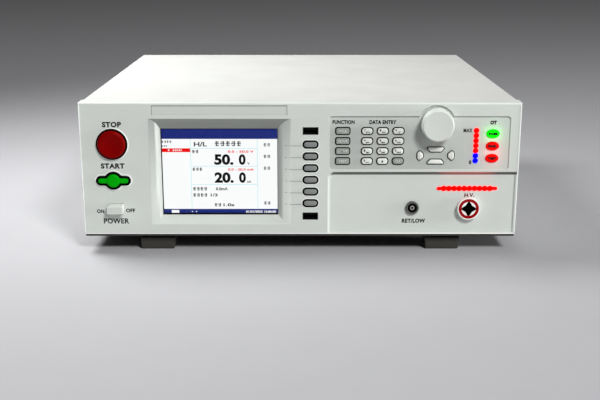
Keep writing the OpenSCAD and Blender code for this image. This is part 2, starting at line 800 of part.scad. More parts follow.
// Terminal recess: bevelled at the left and the top, with a round corner, open to the right
module terminal_cut() {
    floor_x = term_x0 + term_bevel;
    floor_z = term_z1 - term_bevel;
    corner = [floor_x + term_r, floor_z - term_r];
    slope = term_bevel / term_d;
    difference() {
        intersection() {
            plan_slab(term_lip, case_h)
                polygon([[term_x0 - cut * slope, -cut], [floor_x, term_d], [case_w, term_d], [case_w, -cut]]);
            side_slab(term_x0 - 2 * cut, case_w)
                polygon([[-cut, 0], [term_d, 0], [term_d, floor_z], [-cut, term_z1 + cut * slope]]);
        }
        block([term_x0 - 2 * cut, -2 * cut, corner[1]], [corner[0], term_d + cut, case_h]);
    }
    translate([corner[0], front_y + term_d, panel_z + corner[1]]) rotate([90, 0, 0])
        cylinder(r1 = term_r, r2 = term_r + (term_d + cut) * slope, h = term_d + cut);
}

// Outline of the recessed keypad with the round bay for the knob
module keypad_outline() {
    round_rect((keypad_x0 + keypad_x1) / 2, (keypad_z0 + keypad_z1) / 2, keypad_w, keypad_h, keypad_r);
    translate([knob_x, knob_z]) circle(bulge_r);
}

// Hole outlines of every key, larger than the caps by the gap that shows
module key_holes(grow) {
    for (z = soft_zs) stadium(soft_x, z, soft_w + 2 * grow[0], soft_h + 2 * grow[0]);
    for (z = row_z)
        round_rect(keypad_x0 + function_x, z, function_w + 2 * grow[1], key_h + 2 * grow[1],
                   function_r + grow[1]);
    for (n = numbers) number_outline(n[1], n[2], grow[1]);
}

module number_outline(column, row, grow) {
    round_rect(keypad_x0 + number_x + column * number_pitch, row_z[row],
               number_w + 2 * grow, key_h + 2 * grow, number_r + grow);
}

module start_outline(grow) {
    translate([button_x, start_z]) circle(start_r + grow);
    stadium(button_x, start_z, start_w + 2 * grow, start_h + 2 * grow);
}

module lamp_outline(z, grow) {
    stadium(oval_x, z, oval_w + 2 * grow, oval_h + 2 * grow);
}

module bar_outline(grow) {
    stadium(bar_x, bar_z, bar_l + 2 * grow, bar_h + 2 * grow);
    for (i = [0:bar_count - 1])
        translate([bar_x + (i - (bar_count - 1) / 2) * bar_pitch, bar_z]) circle(bar_r + grow);
}

// Front bezel: shell, surround of the display, backing of the terminals, bosses and all openings
module front_bezel() {
    color(panel_grey) difference() {
        union() {
            difference() {
                bezel_body();
                block([-case_w / 2 + rim_t, wall_t, rim_t],
                      [case_w / 2 - rim_t, bezel_d + cut, case_h - rim_t]);
            }
            block([display_x0 - surround_wall, wall_t - cut, display_low - surround_wall],
                  [display_x1 + surround_wall, window_y, display_z1 + surround_wall]);
            block([term_x0 - surround_wall, wall_t - cut, rim_t - cut],
                  [case_w / 2 - rim_t + cut, backing_y, term_z1 + surround_wall]);
            for (s = [-1, 1], z = boss_z) rod(s * boss_x, z, boss_r, wall_t - cut, bezel_d);
        }
        display_cut();
        terminal_cut();
        panel_slab(-cut, keypad_d) keypad_outline();
        panel_slab(-cut, plate_d)
            rect(display_x, case_h - plate_top - plate_h / 2, plate_w + 2 * lamp_gap, plate_h + 2 * lamp_gap);
        panel_slab(-cut, wall_t + cut) {
            key_holes([soft_gap, key_gap]);
            for (a = arrows) arrow_shape(a[1], 0);
            translate([knob_x, knob_z]) circle(bushing_r + lamp_gap);
            for (z = concat(red_z, blue_z)) translate([led_x, z]) circle(led_r + lamp_gap);
            for (i = [0:2]) lamp_outline(keypad_z1 - oval_top - i * oval_pitch, lamp_gap);
            for (z = [upper_port_z, port_z]) rect(soft_x, z, port_w, port_h);
            translate([button_x, stop_z]) circle(stop_r + button_gap + housing_t + lamp_gap);
            start_outline(button_gap + housing_t + lamp_gap);
            round_rect(power_x, power_z, power_w + 2 * button_gap, power_h + 2 * button_gap,
                       power_r + button_gap);
        }
        panel_slab(-cut, backing_y + cut) {
            bar_outline(lamp_gap);
            translate([hv_x, term_z]) circle(barrel_r + lamp_gap);
            translate([ret_x, term_z]) circle(ret_barrel_r + lamp_gap);
        }
        for (s = [-1, 1], z = boss_z)
            rod(s * boss_x, z, screw_r + thread_gap, bezel_d + sheet_t - screw_l - cut, bezel_d + cut);
    }
}

// Bare plate in the shallow recess above the display
module nameplate() {
    color(zinc) panel_slab(plate_d / 4, plate_d)
        rect(display_x, case_h - plate_top - plate_h / 2, plate_w, plate_h);
}

// Steel sheet behind the bezel that holds the boards and clears the terminals
module front_subpanel() {
    cable_slot = [60, 30];
    keypad_slot = [40, 14];
    color(zinc) panel_slab(bezel_d, bezel_d + sheet_t) difference() {
        round_top(inner_w, 0, inner_h, cover_r - sheet_t);
        for (s = [-1, 1], z = boss_z) translate([s * boss_x, z]) circle(screw_r + screw_gap);
        translate([hv_x, term_z]) circle(barrel_r + nut_room);
        translate([ret_x, term_z]) circle(ret_barrel_r + nut_room);
        rect(display_x, (throat_z0 + throat_z1) / 2, cable_slot[0], cable_slot[1]);
        rect(knob_x, arrow_z, keypad_slot[0], keypad_slot[1]);
    }
}

// Rear panel with air slots for the fan and holes for everything that passes through it
module rear_panel() {
    color(zinc) panel_slab(case_d - sheet_t, case_d) difference() {
        round_top(inner_w, 0, inner_h, cover_r - sheet_t);
        for (x = rear_screws) translate([x, side_screw_z]) circle(screw_r + screw_gap);
        difference() {
            for (i = [0:3]) difference() {
                slot_r = hub_r + slot_gap + i * slot_pitch;
                translate([fan_x, fan_z]) circle(slot_r + slot_w);
                translate([fan_x, fan_z]) circle(slot_r);
            }
            for (turn = [45, 135]) translate([fan_x, fan_z]) rotate(turn) rect(0, 0, 2 * fan_w, guard_bar);
        }
        rect(inlet_x, inlet_z, inlet_core_w + 2 * sheet_fit, inlet_core_h + 2 * sheet_fit);
        for (c = connectors) rect(c[0], signal_z, c[1] + 2 * sheet_fit, connector_h + 2 * sheet_fit);
        translate([ground_x, ground_z]) circle(ground_stud_r + screw_gap);
    }
}

// Four rubber feet: a tapered block with a chamfered sole and a round neck
module rubber_feet() {
    color(rubber_black) for (sx = [-1, 1], y = foot_ys) translate([sx * foot_x, y, 0]) difference() {
        union() {
            intersection() {
                foot_prism(foot_w, foot_d);
                rotate([0, 0, 90]) foot_prism(foot_d, foot_w);
            }
            cylinder(r = neck_r, h = foot_top);
        }
        translate([0, 0, panel_z - screw_l]) cylinder(r = screw_r + thread_gap, h = screw_l);
    }
}

module foot_prism(w, d) {
    low = w / 2 - foot_taper;
    side = low + foot_taper * foot_chamfer / foot_h;
    translate([0, d / 2, 0]) rotate([90, 0, 0]) linear_extrude(d)
        polygon([[foot_chamfer - low, 0], [low - foot_chamfer, 0], [side, foot_chamfer],
                 [w / 2, foot_h], [-w / 2, foot_h], [-side, foot_chamfer]]);
}

// Pan-head screw whose shank points along -Z, head on top of Z = 0
module pan_screw() {
    difference() {
        union() {
            translate([0, 0, -screw_l]) cylinder(r = screw_r, h = screw_l);
            rotate_extrude() intersection() {
                square([head_r, head_h]);
                translate([0, head_h - 2 * head_r]) circle(2 * head_r);
            }
        }
        translate([0, 0, head_h]) for (a = [0, 90]) rotate([0, 0, a])
            cube([head_r * 1.1, 0.8, head_h * 1.1], center = true);
    }
}

// Identical screws of the cover, the rear panel, the bezel and the feet
module case_screws() {
    color(zinc) {
        for (s = [-1, 1], y = side_screws)
            translate([s * case_w / 2, front_y + y, panel_z + side_screw_z])
                rotate([0, s * 90, 0]) pan_screw();
        for (x = rear_screws)
            translate([x, rear_y, panel_z + side_screw_z]) rotate([-90, 0, 0]) pan_screw();
        for (s = [-1, 1], z = boss_z)
            translate([s * boss_x, front_y + bezel_d + sheet_t, panel_z + z]) rotate([-90, 0, 0]) pan_screw();
        for (sx = [-1, 1], y = foot_ys) translate([sx * foot_x, y, panel_z]) pan_screw();
    }
}

// Clear window clamped between the surround and the display module
module lcd_window() {
    color([0.75, 0.82, 0.90, 0.4]) block([throat_x0 - window_lap, window_y, throat_z0 - window_lap],
                                         [throat_x1 + window_lap, lcd_y, throat_z1 + window_lap]);
}

// Display module: metal frame round a sunk screen, against the sub-panel
module lcd_module() {
    color([0.66, 0.68, 0.70]) difference() {
        block([throat_x0 - lcd_lap, lcd_y, throat_z0 - lcd_lap],
              [throat_x1 + lcd_lap, bezel_d, throat_z1 + lcd_lap]);
        block([throat_x0 + lcd_frame, lcd_y - cut, throat_z0 + lcd_frame],
              [throat_x1 - lcd_frame, lcd_y + screen_sunk, throat_z1 - lcd_frame]);
    }
}

// Board behind the keypad and the soft keys: switches, encoder with its bushing, and spacers
module keypad_board() {
    soft_edge = soft_w / 2 + 2;
    board_x0 = soft_x - soft_edge;
    board_x1 = keypad_x1 - board_edge;
    board_z1 = keypad_z1 - board_edge;
    soft_low = soft_zs[soft_count - 1] - keypad_switch;
    spacer_xs = [soft_x, keypad_x0 + (function_x + number_x) / 2, (led_x + oval_x) / 2];
    color(board_green) {
        difference() {
            union() {
                block([board_x0, board_y, keypad_z0], [board_x1, board_y + board_t, board_z1 - board_step]);
                block([keypad_x0 + board_edge, board_y, keypad_z0], [board_x1, board_y + board_t, board_z1]);
                block([board_x0, board_y, soft_low],
                      [soft_x + soft_edge, board_y + board_t, keypad_z0 + cut]);
            }
            rod(knob_x, knob_z, shaft_r + shaft_fit + bushing_wall, board_y - cut, board_y + board_t + cut);
        }
        for (z = soft_zs) board_switch(soft_x, z);
        for (z = row_z) board_switch(keypad_x0 + function_x, z);
        for (n = numbers) board_switch(keypad_x0 + number_x + n[1] * number_pitch, row_z[n[2]]);
        for (s = [-1, 1]) {
            board_switch(knob_x + s * arrow_dx, arrow_z);
            board_switch(knob_x, arrow_z + s * arrow_dz);
        }
        for (x = spacer_xs) rod(x, board_spacer_z, spacer_r, board_y + board_t, bezel_d);
        difference() {
            union() {
                panel_slab(wall_t + rest_gap, board_y) rect(knob_x, knob_z, encoder_w, encoder_w);
                rod(knob_x, knob_z, bushing_r, bushing_y, wall_t + rest_gap + cut);
            }
            rod(knob_x, knob_z, shaft_r + shaft_fit, bushing_y - cut, board_y + cut);
        }
    }
}

module board_switch(x, z) {
    panel_slab(switch_y, board_y) rect(x, z, keypad_switch, keypad_switch);
}

// Encoder shaft that turns in the bushing
module encoder_shaft() {
    color(zinc) rod(knob_x, knob_z, shaft_r, shaft_top, shaft_back);
}

// Round knob with a soft front edge, hollow behind for the bushing
module encoder_knob() {
    knob_foot = keypad_d - knob_gap;
    color([0.80, 0.81, 0.78]) turned(knob_x, knob_z) difference() {
        union() {
            translate([0, -knob_foot]) square([knob_r, knob_foot + knob_proud - knob_edge]);
            translate([0, -knob_foot]) square([knob_r - knob_edge, knob_foot + knob_proud]);
            translate([knob_r - knob_edge, knob_proud - knob_edge]) circle(knob_edge);
        }
        translate([0, -knob_foot - cut]) square([shaft_r + shaft_fit, knob_foot + cut - shaft_top]);
        translate([0, -knob_foot - cut])
            square([bushing_r + knob_gap, knob_foot + cut - bushing_y + knob_gap]);
    }
}

// Domed stop button that slides in its housing
module stop_button() {
    dome_h = 2.4;
    edge = stop_proud - dome_h;
    dome_r = (stop_r * stop_r + dome_h * dome_h) / (2 * dome_h);
    color(lamp_red) turned(button_x, stop_z) {
        translate([0, -button_stem]) square([stop_r, button_stem + edge]);
        intersection() {
            translate([0, stop_proud - dome_r]) circle(dome_r, $fn = 240);
            translate([0, edge - 0.01]) square([stop_r, stop_proud]);
        }
    }
}

// Start button: a round middle with two rounded wings
module start_button() {
    color([0.02, 0.60, 0.05]) {
        panel_slab(-start_proud, button_stem) translate([button_x, start_z]) circle(start_r);
        panel_slab(-start_proud + 0.6, button_stem) stadium(button_x, start_z, start_w, start_h);
    }
}

// Push-on, push-off power button with a flange behind the panel
module power_button() {
    color(insulator_white) {
        panel_slab(-power_proud, wall_t + rest_gap) round_rect(power_x, power_z, power_w, power_h, power_r);
        panel_slab(wall_t + rest_gap, wall_t + rest_gap + key_flange_t)
            round_rect(power_x, power_z, power_w + 2 * power_flange, power_h + 2 * power_flange, power_r);
    }
}

// Housings of the stop and start buttons and the power switch, up against the sub-panel
module panel_switches() {
    rim_h = 1.2;
    power_switch = [14, 10];
    lower_back = wall_t + rest_gap + key_flange_t + power_travel + rest_gap;
    color(rubber_black) {
        difference() {
            union() {
                rod(button_x, stop_z, stop_r + stop_rim, -rim_h, 0);
                rod(button_x, stop_z, stop_r + button_gap + housing_t, 0, bezel_d);
            }
            rod(button_x, stop_z, stop_r + button_gap, -rim_h - cut, housing_back);
        }
        difference() {
            union() {
                panel_slab(-rim_h, 0) start_outline(start_rim);
                panel_slab(0, bezel_d) start_outline(button_gap + housing_t);
            }
            panel_slab(-rim_h - cut, housing_back) start_outline(button_gap);
        }
        panel_slab(lower_back, bezel_d) rect(power_x, power_z, power_switch[0], power_switch[1]);
    }
}

// Round lamp standing on the keypad board, with a domed front
module led(z) {
    led_dome = 0.8;
    turned(led_x, z) {
        translate([0, -board_y]) square([led_r, board_y - keypad_d + lamp_proud - led_dome]);
        intersection() {
            translate([0, lamp_proud - keypad_d - led_r]) circle(led_r);
            translate([0, -board_y]) square([led_r, board_y + lamp_proud]);
        }
    }
}

module red_leds() {
    color(lamp_red) for (z = red_z) led(z);
}

module blue_leds() {
    color([0.05, 0.10, 0.90]) for (z = blue_z) led(z);
}

module oval_lamp(i) {
    panel_slab(keypad_d - lamp_proud, board_y) lamp_outline(keypad_z1 - oval_top - i * oval_pitch, 0);
}

module pass_lamp() {
    color([0.05, 0.85, 0.10]) oval_lamp(0);
}

module fail_lamps() {
    color(lamp_red) for (i = [1, 2]) oval_lamp(i);
}

// Red lens of the high-voltage warning lamps, with a flange behind the panel
module hv_lamp_bar() {
    bar_flange = 1.5;
    color(lamp_red) {
        panel_slab(term_d - lamp_proud, backing_y) bar_outline(0);
        panel_slab(backing_y, backing_y + key_flange_t)
            stadium(bar_x, bar_z, bar_l + 2 * bar_flange, 2 * (bar_r + bar_flange));
    }
}

// Cavity for the four-winged plug of the high-voltage lead
module star_outline() {
    waist = 3.3;
    tip = 0.9;
    for (turn = [0, 90]) rotate(turn)
        polygon([[-tip, star_r], [tip, star_r], [waist, waist], [waist, -waist],
                 [tip, -star_r], [-tip, -star_r], [-waist, -waist], [-waist, waist]]);
}

// High-voltage terminal: collar, insulator with the plug cavity and contact bore, and its nut
module hv_socket() {
    color(insulator_white) {
        difference() {
            union() {
                rod(hv_x, term_z, collar_r, collar_y, term_d);
                rod(hv_x, term_z, barrel_r, term_d, term_d + barrel_l);
            }
            panel_slab(collar_y - cut, collar_y + star_d) translate([hv_x, term_z]) star_outline();
            rod(hv_x, term_z, contact_r, collar_y, term_d + barrel_l - contact_end);
            difference() {
                rod(hv_x, term_z, ring_r + ring_fit, collar_y - cut, collar_y + ring_t);
                rod(hv_x, term_z, ring_r - ring_w - ring_fit, collar_y - 2 * cut, collar_y + ring_t + cut);
            }
        }
        terminal_nut(hv_x, barrel_r, 3.5);
    }
}

module hv_socket_ring() {
    color(lamp_red) difference() {
        rod(hv_x, term_z, ring_r, collar_y, collar_y + ring_t);
        rod(hv_x, term_z, ring_r - ring_w, collar_y - cut, collar_y + ring_t + cut);
    }
}

// Six-sided nut behind the bezel on a terminal's barrel
module terminal_nut(x, r, wall) {
    panel_slab(backing_y, backing_y + nut_t) translate([x, term_z]) difference() {
        circle(r + wall, $fn = 6);
        circle(r + thread_gap);
    }
}

// Return terminal: a plain socket for a 4 mm plug, and its nut
module return_socket() {
    color([0.35, 0.36, 0.36]) {
        difference() {
            union() {
                rod(ret_x, term_z, ret_r, term_d - ret_proud, term_d);
                rod(ret_x, term_z, ret_barrel_r, term_d, term_d + barrel_l);
            }
            rod(ret_x, term_z, contact_r, term_d - ret_proud - cut, term_d + barrel_l - contact_end);
        }
        terminal_nut(ret_x, ret_barrel_r, 2.6);
    }
}

// Two data ports: folded metal shells round a contact tongue, on brackets from the sub-panel
module usb_ports() {
    shell_w = 13.2;
    shell_h = 5.7;
    shell_t = 0.3;
    shell_end = 2;
    tongue_w = 11;
    tongue_t = 1.8;
    tongue_gap = 0.6;
    bracket_w = 10;
    color(zinc) for (z = [upper_port_z, port_z]) {
        difference() {
            panel_slab(port_y, port_y + port_l) rect(soft_x, z, shell_w, shell_h);
            panel_slab(port_y - cut, port_y + port_l - shell_end)
                rect(soft_x, z, shell_w - 2 * shell_t, shell_h - 2 * shell_t);
        }
        panel_slab(port_y + tongue_gap, port_y + port_l - shell_end)
            rect(soft_x, z + shell_h / 2 - shell_t - tongue_gap - tongue_t / 2, tongue_w, tongue_t);
        panel_slab(port_y + port_l, bezel_d) rect(soft_x, z, bracket_w, bracket_w);
    }
}

// Main board on the tray's standoffs: six chips, four capacitors, a cooling fin and four relays
module main_board() {
    z0 = standoff_h;
    z1 = standoff_h + board_t;
    main_y0 = main_y - main_d / 2;
    chip = [28, 28, 3];
    chip_pitch = [46, 60];
    chip_first = [30, 25];
    cap_r = 9;
    cap_h = 30;
    cap_first = [55, 35];
    cap_pitch = 26;
    fin_foot = [31.5, 30, 4];
    fin_t = 1.5;
    fin_h = 30;
    fin_pitch = 5;
    fin_back = 10;
    relay = [16, 20, 15];
    relay_first = [29, 15];
    relay_pitch = 34;
    fin_x0 = main_x - fin_foot[0];
    fin_y1 = main_y0 + main_d - fin_back;
    color(board_green) {
        block([main_x0, main_y0, z0], [main_x1, main_y0 + main_d, z1]);
        for (i = [0:2], j = [0:1])
            translate([i * chip_pitch[0], j * chip_pitch[1], 0])
                board_part([main_x0 + chip_first[0], main_y0 + chip_first[1], z1], chip);
        for (i = [0:3]) translate([main_x1 - cap_first[0], i * cap_pitch, panel_z + z1])
            translate([0, front_y + main_y0 + cap_first[1], 0]) cylinder(r = cap_r, h = cap_h);
        board_part([fin_x0, fin_y1 - fin_foot[1], z1], fin_foot);
        for (i = [0:6])
            board_part([fin_x0 + i * fin_pitch, fin_y1 - fin_foot[1], z1],
                       [fin_t, fin_foot[1], fin_foot[2] + fin_h]);
        for (i = [0:3])
            board_part([main_x1 - relay_first[0], main_y0 + relay_first[1] + i * relay_pitch, z1], relay);
    }
}

// Box-shaped part on a board, from its low corner and its size
module board_part(low, size) {
    block(low, [low[0] + size[0], low[1] + size[1], low[2] + size[2]]);
}

// High-voltage transformer: laminated core, winding round its middle leg, and mounting feet
module hv_transformer() {
    leg = core_w / 6;
    x0 = core_x - core_w / 2;
    y0 = core_y - core_t / 2;
    color([0.45, 0.42, 0.38]) difference() {
        block([x0, y0, 0], [x0 + core_w, y0 + core_t, core_h]);
        for (i = [0.5, 4])
            block([x0 + i * leg, y0 - cut, leg], [x0 + (i + 1.5) * leg, y0 + core_t + cut, core_h - leg]);
    }
    color([0.60, 0.33, 0.12]) difference() {
        round_t = 1.2 * leg;
        block([core_x - leg - round_t, y0 - round_t, leg + rest_gap],
              [core_x + leg + round_t, y0 + core_t + round_t, core_h - leg - rest_gap]);
        block([core_x - leg - rest_gap, y0 - rest_gap, 0],
              [core_x + leg + rest_gap, y0 + core_t + rest_gap, core_h]);
    }
}

// Power supply: board, bulk capacitor, small transformer and two cooling plates
module power_supply() {
    z1 = standoff_h + board_t;
    x0 = supply_x - supply_w / 2;
    y0 = supply_y - supply_d / 2;
    coil_in = 20;
    coil_front = 40;
    coil_d = 36;
    coil_h = 28;
    cooler_in = 6;
    cooler_t = 3;
    cooler_end = 20;
    bulk_r = 13;
    bulk_front = 20;
    bulk_h = 35;
    color(board_green) {
        block([x0, y0, standoff_h], [x0 + supply_w, y0 + supply_d, z1]);
        board_part([x0 + coil_in, y0 + coil_front, z1], [supply_w - 2 * coil_in, coil_d, coil_h]);
        for (x = [x0 + cooler_in, x0 + supply_w - cooler_in - cooler_t])
            board_part([x, y0 + cooler_end, z1], [cooler_t, supply_d - 2 * cooler_end, supply_h]);
    }
    color([0.15, 0.16, 0.20])
        translate([supply_x, front_y + y0 + bulk_front, panel_z + z1]) cylinder(r = bulk_r, h = bulk_h);
}

// Square fan frame with a hub spider and the rotor's pin
module fan_frame() {
    hole_place = fan_w / 2 - fan_hole_in;
    color([0.12, 0.12, 0.12]) difference() {
        union() {
            difference() {
                panel_slab(fan_y, fan_y + fan_d) round_rect(fan_x, fan_z, fan_w, fan_w, fan_corner);
                rod(fan_x, fan_z, fan_r, fan_y - cut, fan_y + fan_d + cut);
            }
            rod(fan_x, fan_z, hub_r, fan_y, fan_y + spider_t);
            for (turn = [30, 120]) panel_slab(fan_y, fan_y + spider_t) translate([fan_x, fan_z]) rotate(turn)
                rect(0, 0, 2 * fan_r + 1, spider_w);
            rod(fan_x, fan_z, fan_pin_r, fan_y, fan_y + fan_d - fan_pin_end);
        }
        for (sx = [-1, 1], sz = [-1, 1])
            rod(fan_x + sx * hole_place, fan_z + sz * hole_place, fan_hole_r,
                fan_y - cut, fan_y + fan_d + cut);
    }
}

// Hub and slanted blades that turn on the frame's pin
module fan_rotor() {
    color([0.16, 0.16, 0.17]) difference() {
        union() {
            rod(fan_x, fan_z, hub_r, blade_y0, blade_y1);
            intersection() {
                for (i = [0:blade_count - 1])
                    translate([fan_x, front_y + (blade_y0 + blade_y1) / 2, panel_z + fan_z])
                        rotate([0, i * 360 / blade_count, 0]) translate([0, 0, hub_r - 1])
                            rotate([0, 0, blade_turn]) translate([-blade_t / 2, -blade_chord / 2, 0])
                                cube([blade_t, blade_chord, fan_r]);
                rod(fan_x, fan_z, fan_r - tip_gap, blade_y0, blade_y1);
            }
        }
        rod(fan_x, fan_z, fan_pin_r + shaft_fit, blade_y0 - cut, fan_y + fan_d - fan_pin_end + rest_gap);
    }
}

// Mains inlet: flange, cup with cut corners and three blades
module mains_inlet() {
    color(rubber_black) {
        difference() {
            union() {
                panel_slab(case_d, case_d + inlet_t) round_rect(inlet_x, inlet_z, inlet_w, inlet_h, inlet_t);
                panel_slab(case_d - inlet_core_l, case_d) rect(inlet_x, inlet_z, inlet_core_w, inlet_core_h);
            }
            panel_slab(case_d - cup_d, case_d + inlet_t + cut) translate([inlet_x, inlet_z])
                polygon([[-cup_w / 2, -cup_h / 2], [cup_w / 2, -cup_h / 2],
                         [cup_w / 2, cup_h / 2 - cup_corner], [cup_w / 2 - cup_corner, cup_h / 2],
                         [cup_corner - cup_w / 2, cup_h / 2], [-cup_w / 2, cup_h / 2 - cup_corner]]);
            for (s = [-1, 1])
                rod(inlet_x + s * inlet_screw_x, inlet_z, inlet_screw_r,
                    case_d - cut, case_d + inlet_t + cut);
        }
        for (p = pin_places)
            panel_slab(case_d - cup_d - 1, case_d - cup_d - 1 + pin_l)
                rect(inlet_x + p[0], inlet_z + p[1], pin_w, pin_h);
    }
}

// Two rear signal connectors: flange, hollow metal shell and insulating floor
module signal_connectors() {
    color(zinc) for (c = connectors) difference() {
        union() {
            panel_slab(case_d, case_d + connector_t)
                round_rect(c[0], signal_z, c[1] + 2 * ear_w, ear_h, ear_hole_r);
            panel_slab(case_d - shell_back, case_d + shell_out) rect(c[0], signal_z, c[1], connector_h);
        }
        panel_slab(case_d - connector_t, case_d + shell_out + cut)
            rect(c[0], signal_z, c[1] - connector_t, connector_h - connector_t);
        for (s = [-1, 1])
            rod(c[0] + s * (c[1] / 2 + ear_w - ear_hole_in), signal_z, ear_hole_r, case_d - cut,
                case_d + connector_t + cut);
    }
}

// Ground post: stud through the rear panel, nut inside and a head with a plug bore outside
module ground_post() {
    color([0.80, 0.68, 0.35]) difference() {
        union() {
            rod(ground_x, ground_z, ground_stud_r, case_d - stud_back, case_d + ground_proud);
            rod(ground_x, ground_z, ground_r, case_d, case_d + ground_proud);
            panel_slab(case_d - sheet_t - nut_t, case_d - sheet_t) translate([ground_x, ground_z])
                circle(ground_nut_r, $fn = 6);
        }
        rod(ground_x, ground_z, contact_r, case_d - ground_bore_in, case_d + ground_proud + cut);
    }
}

// One soft key beside the display
module soft_key(i) {
    grow = soft_gap + key_flange;
    color([0.50, 0.51, 0.50]) key_solid(0) {
        stadium(soft_x, soft_zs[i], soft_w, soft_h);
        stadium(soft_x, soft_zs[i], soft_w + 2 * grow, soft_h + 2 * grow);
    }
}

module function_key(i) {
    grow = key_gap + key_flange;
    color([0.66, 0.66, 0.65]) key_solid(keypad_d) {
        round_rect(keypad_x0 + function_x, row_z[i], function_w, key_h, function_r);
        round_rect(keypad_x0 + function_x, row_z[i], function_w + 2 * grow, key_h + 2 * grow,
                   function_r + grow);
    }
}

module number_key(column, row) {
    grow = key_gap + key_flange;
    color(column + row == 5 ? [0.65, 0.66, 0.64] : [0.92, 0.92, 0.90]) key_solid(keypad_d) {
        number_outline(column, row, 0);
        number_outline(column, row, grow);
    }
}

module arrow_key(turn) {
    color([0.90, 0.90, 0.89]) key_solid(keypad_d) {
        arrow_shape(turn, arrow_gap);
        arrow_shape(turn, -key_flange);
    }
}

chassis_tray();
top_cover();
front_bezel();
front_subpanel();
rear_panel();
nameplate();
rubber_feet();
case_screws();
lcd_window();
lcd_module();
keypad_board();
encoder_shaft();
encoder_knob();
stop_button();
start_button();
power_button();
panel_switches();
red_leds();
blue_leds();
pass_lamp();
fail_lamps();
hv_lamp_bar();
hv_socket();
hv_socket_ring();
return_socket();
usb_ports();
main_board();
hv_transformer();
power_supply();
fan_frame();
fan_rotor();
mains_inlet();
signal_connectors();
ground_post();
for (i = [0:soft_count - 1]) soft_key(i);
for (i = [0:3]) function_key(i);
for (n = numbers) number_key(n[1], n[2]);
for (a = arrows) arrow_key(a[1]);
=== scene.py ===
"""Looks for the electrical safety tester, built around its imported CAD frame."""
import json
import logging
import math
from dataclasses import dataclass
from enum import Enum
from typing import Callable

import bmesh
import bpy
from mathutils import Matrix, Vector


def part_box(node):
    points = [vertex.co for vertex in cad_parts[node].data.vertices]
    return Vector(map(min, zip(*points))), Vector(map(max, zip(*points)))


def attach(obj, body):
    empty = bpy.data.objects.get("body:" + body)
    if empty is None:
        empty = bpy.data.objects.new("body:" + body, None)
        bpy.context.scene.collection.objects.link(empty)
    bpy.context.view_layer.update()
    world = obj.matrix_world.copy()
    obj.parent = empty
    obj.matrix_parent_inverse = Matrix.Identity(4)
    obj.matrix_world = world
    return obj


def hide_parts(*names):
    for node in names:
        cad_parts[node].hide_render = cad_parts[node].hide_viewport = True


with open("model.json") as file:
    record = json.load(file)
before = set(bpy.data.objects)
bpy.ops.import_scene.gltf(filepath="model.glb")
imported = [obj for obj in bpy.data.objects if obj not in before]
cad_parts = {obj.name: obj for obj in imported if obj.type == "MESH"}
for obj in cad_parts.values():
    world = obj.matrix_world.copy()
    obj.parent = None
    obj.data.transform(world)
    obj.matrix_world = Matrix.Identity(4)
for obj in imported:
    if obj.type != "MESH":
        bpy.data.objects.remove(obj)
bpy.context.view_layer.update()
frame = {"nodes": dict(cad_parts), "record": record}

# Sizes are in millimetres, and depths run to the rear from the front panel's face
MM = 0.001
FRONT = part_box("front_bezel")[0].y / MM
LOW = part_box("front_bezel")[0].z / MM
CASE = "case"
CASE_DEPTH = 400.0
KEYPAD_DEPTH = 1.5
TERMINAL_DEPTH = 3.5
NEAR = 0.01
FACING_FRONT = (math.pi / 2, 0, 0)
LETTER_SPACING = 1.08
NOISE_SPAN = (0.3, 0.7)
SLOT_OF = {part["node"]: part["material_slot"] for part in frame["record"]["subparts"]}
log = logging.getLogger("tester")

Point = tuple[float, float]
Box = tuple[float, float, float, float]
Colour = tuple[int, int, int]
Place = tuple[float, float, float]
Piece = bpy.types.Object
Socket = bpy.types.NodeSocket
Feed = float | tuple[float, ...] | Socket


def at(x: float, depth: float, z: float) -> Vector:
    """Turn a place on the front panel into metres.

    Args:
        x: millimetres to the right of the middle of the case.
        depth: millimetres behind the panel's face.
        z: millimetres above the panel's lower edge.

    Returns:
        The point in the frame that the CAD model uses.
    """
    return Vector((x, FRONT + depth, LOW + z)) * MM


class Surface(Enum):
    """The kinds of surface on the tester."""

    PANEL = "panel"
    PAINT = "paint"
    PLASTIC = "plastic"
    RUBBER = "rubber"
    METAL = "metal"
    SPANGLE = "spangle"
    LENS = "lens"
    GLASS = "glass"
    BOARD = "board"
    INK = "ink"
    SCREEN = "screen"


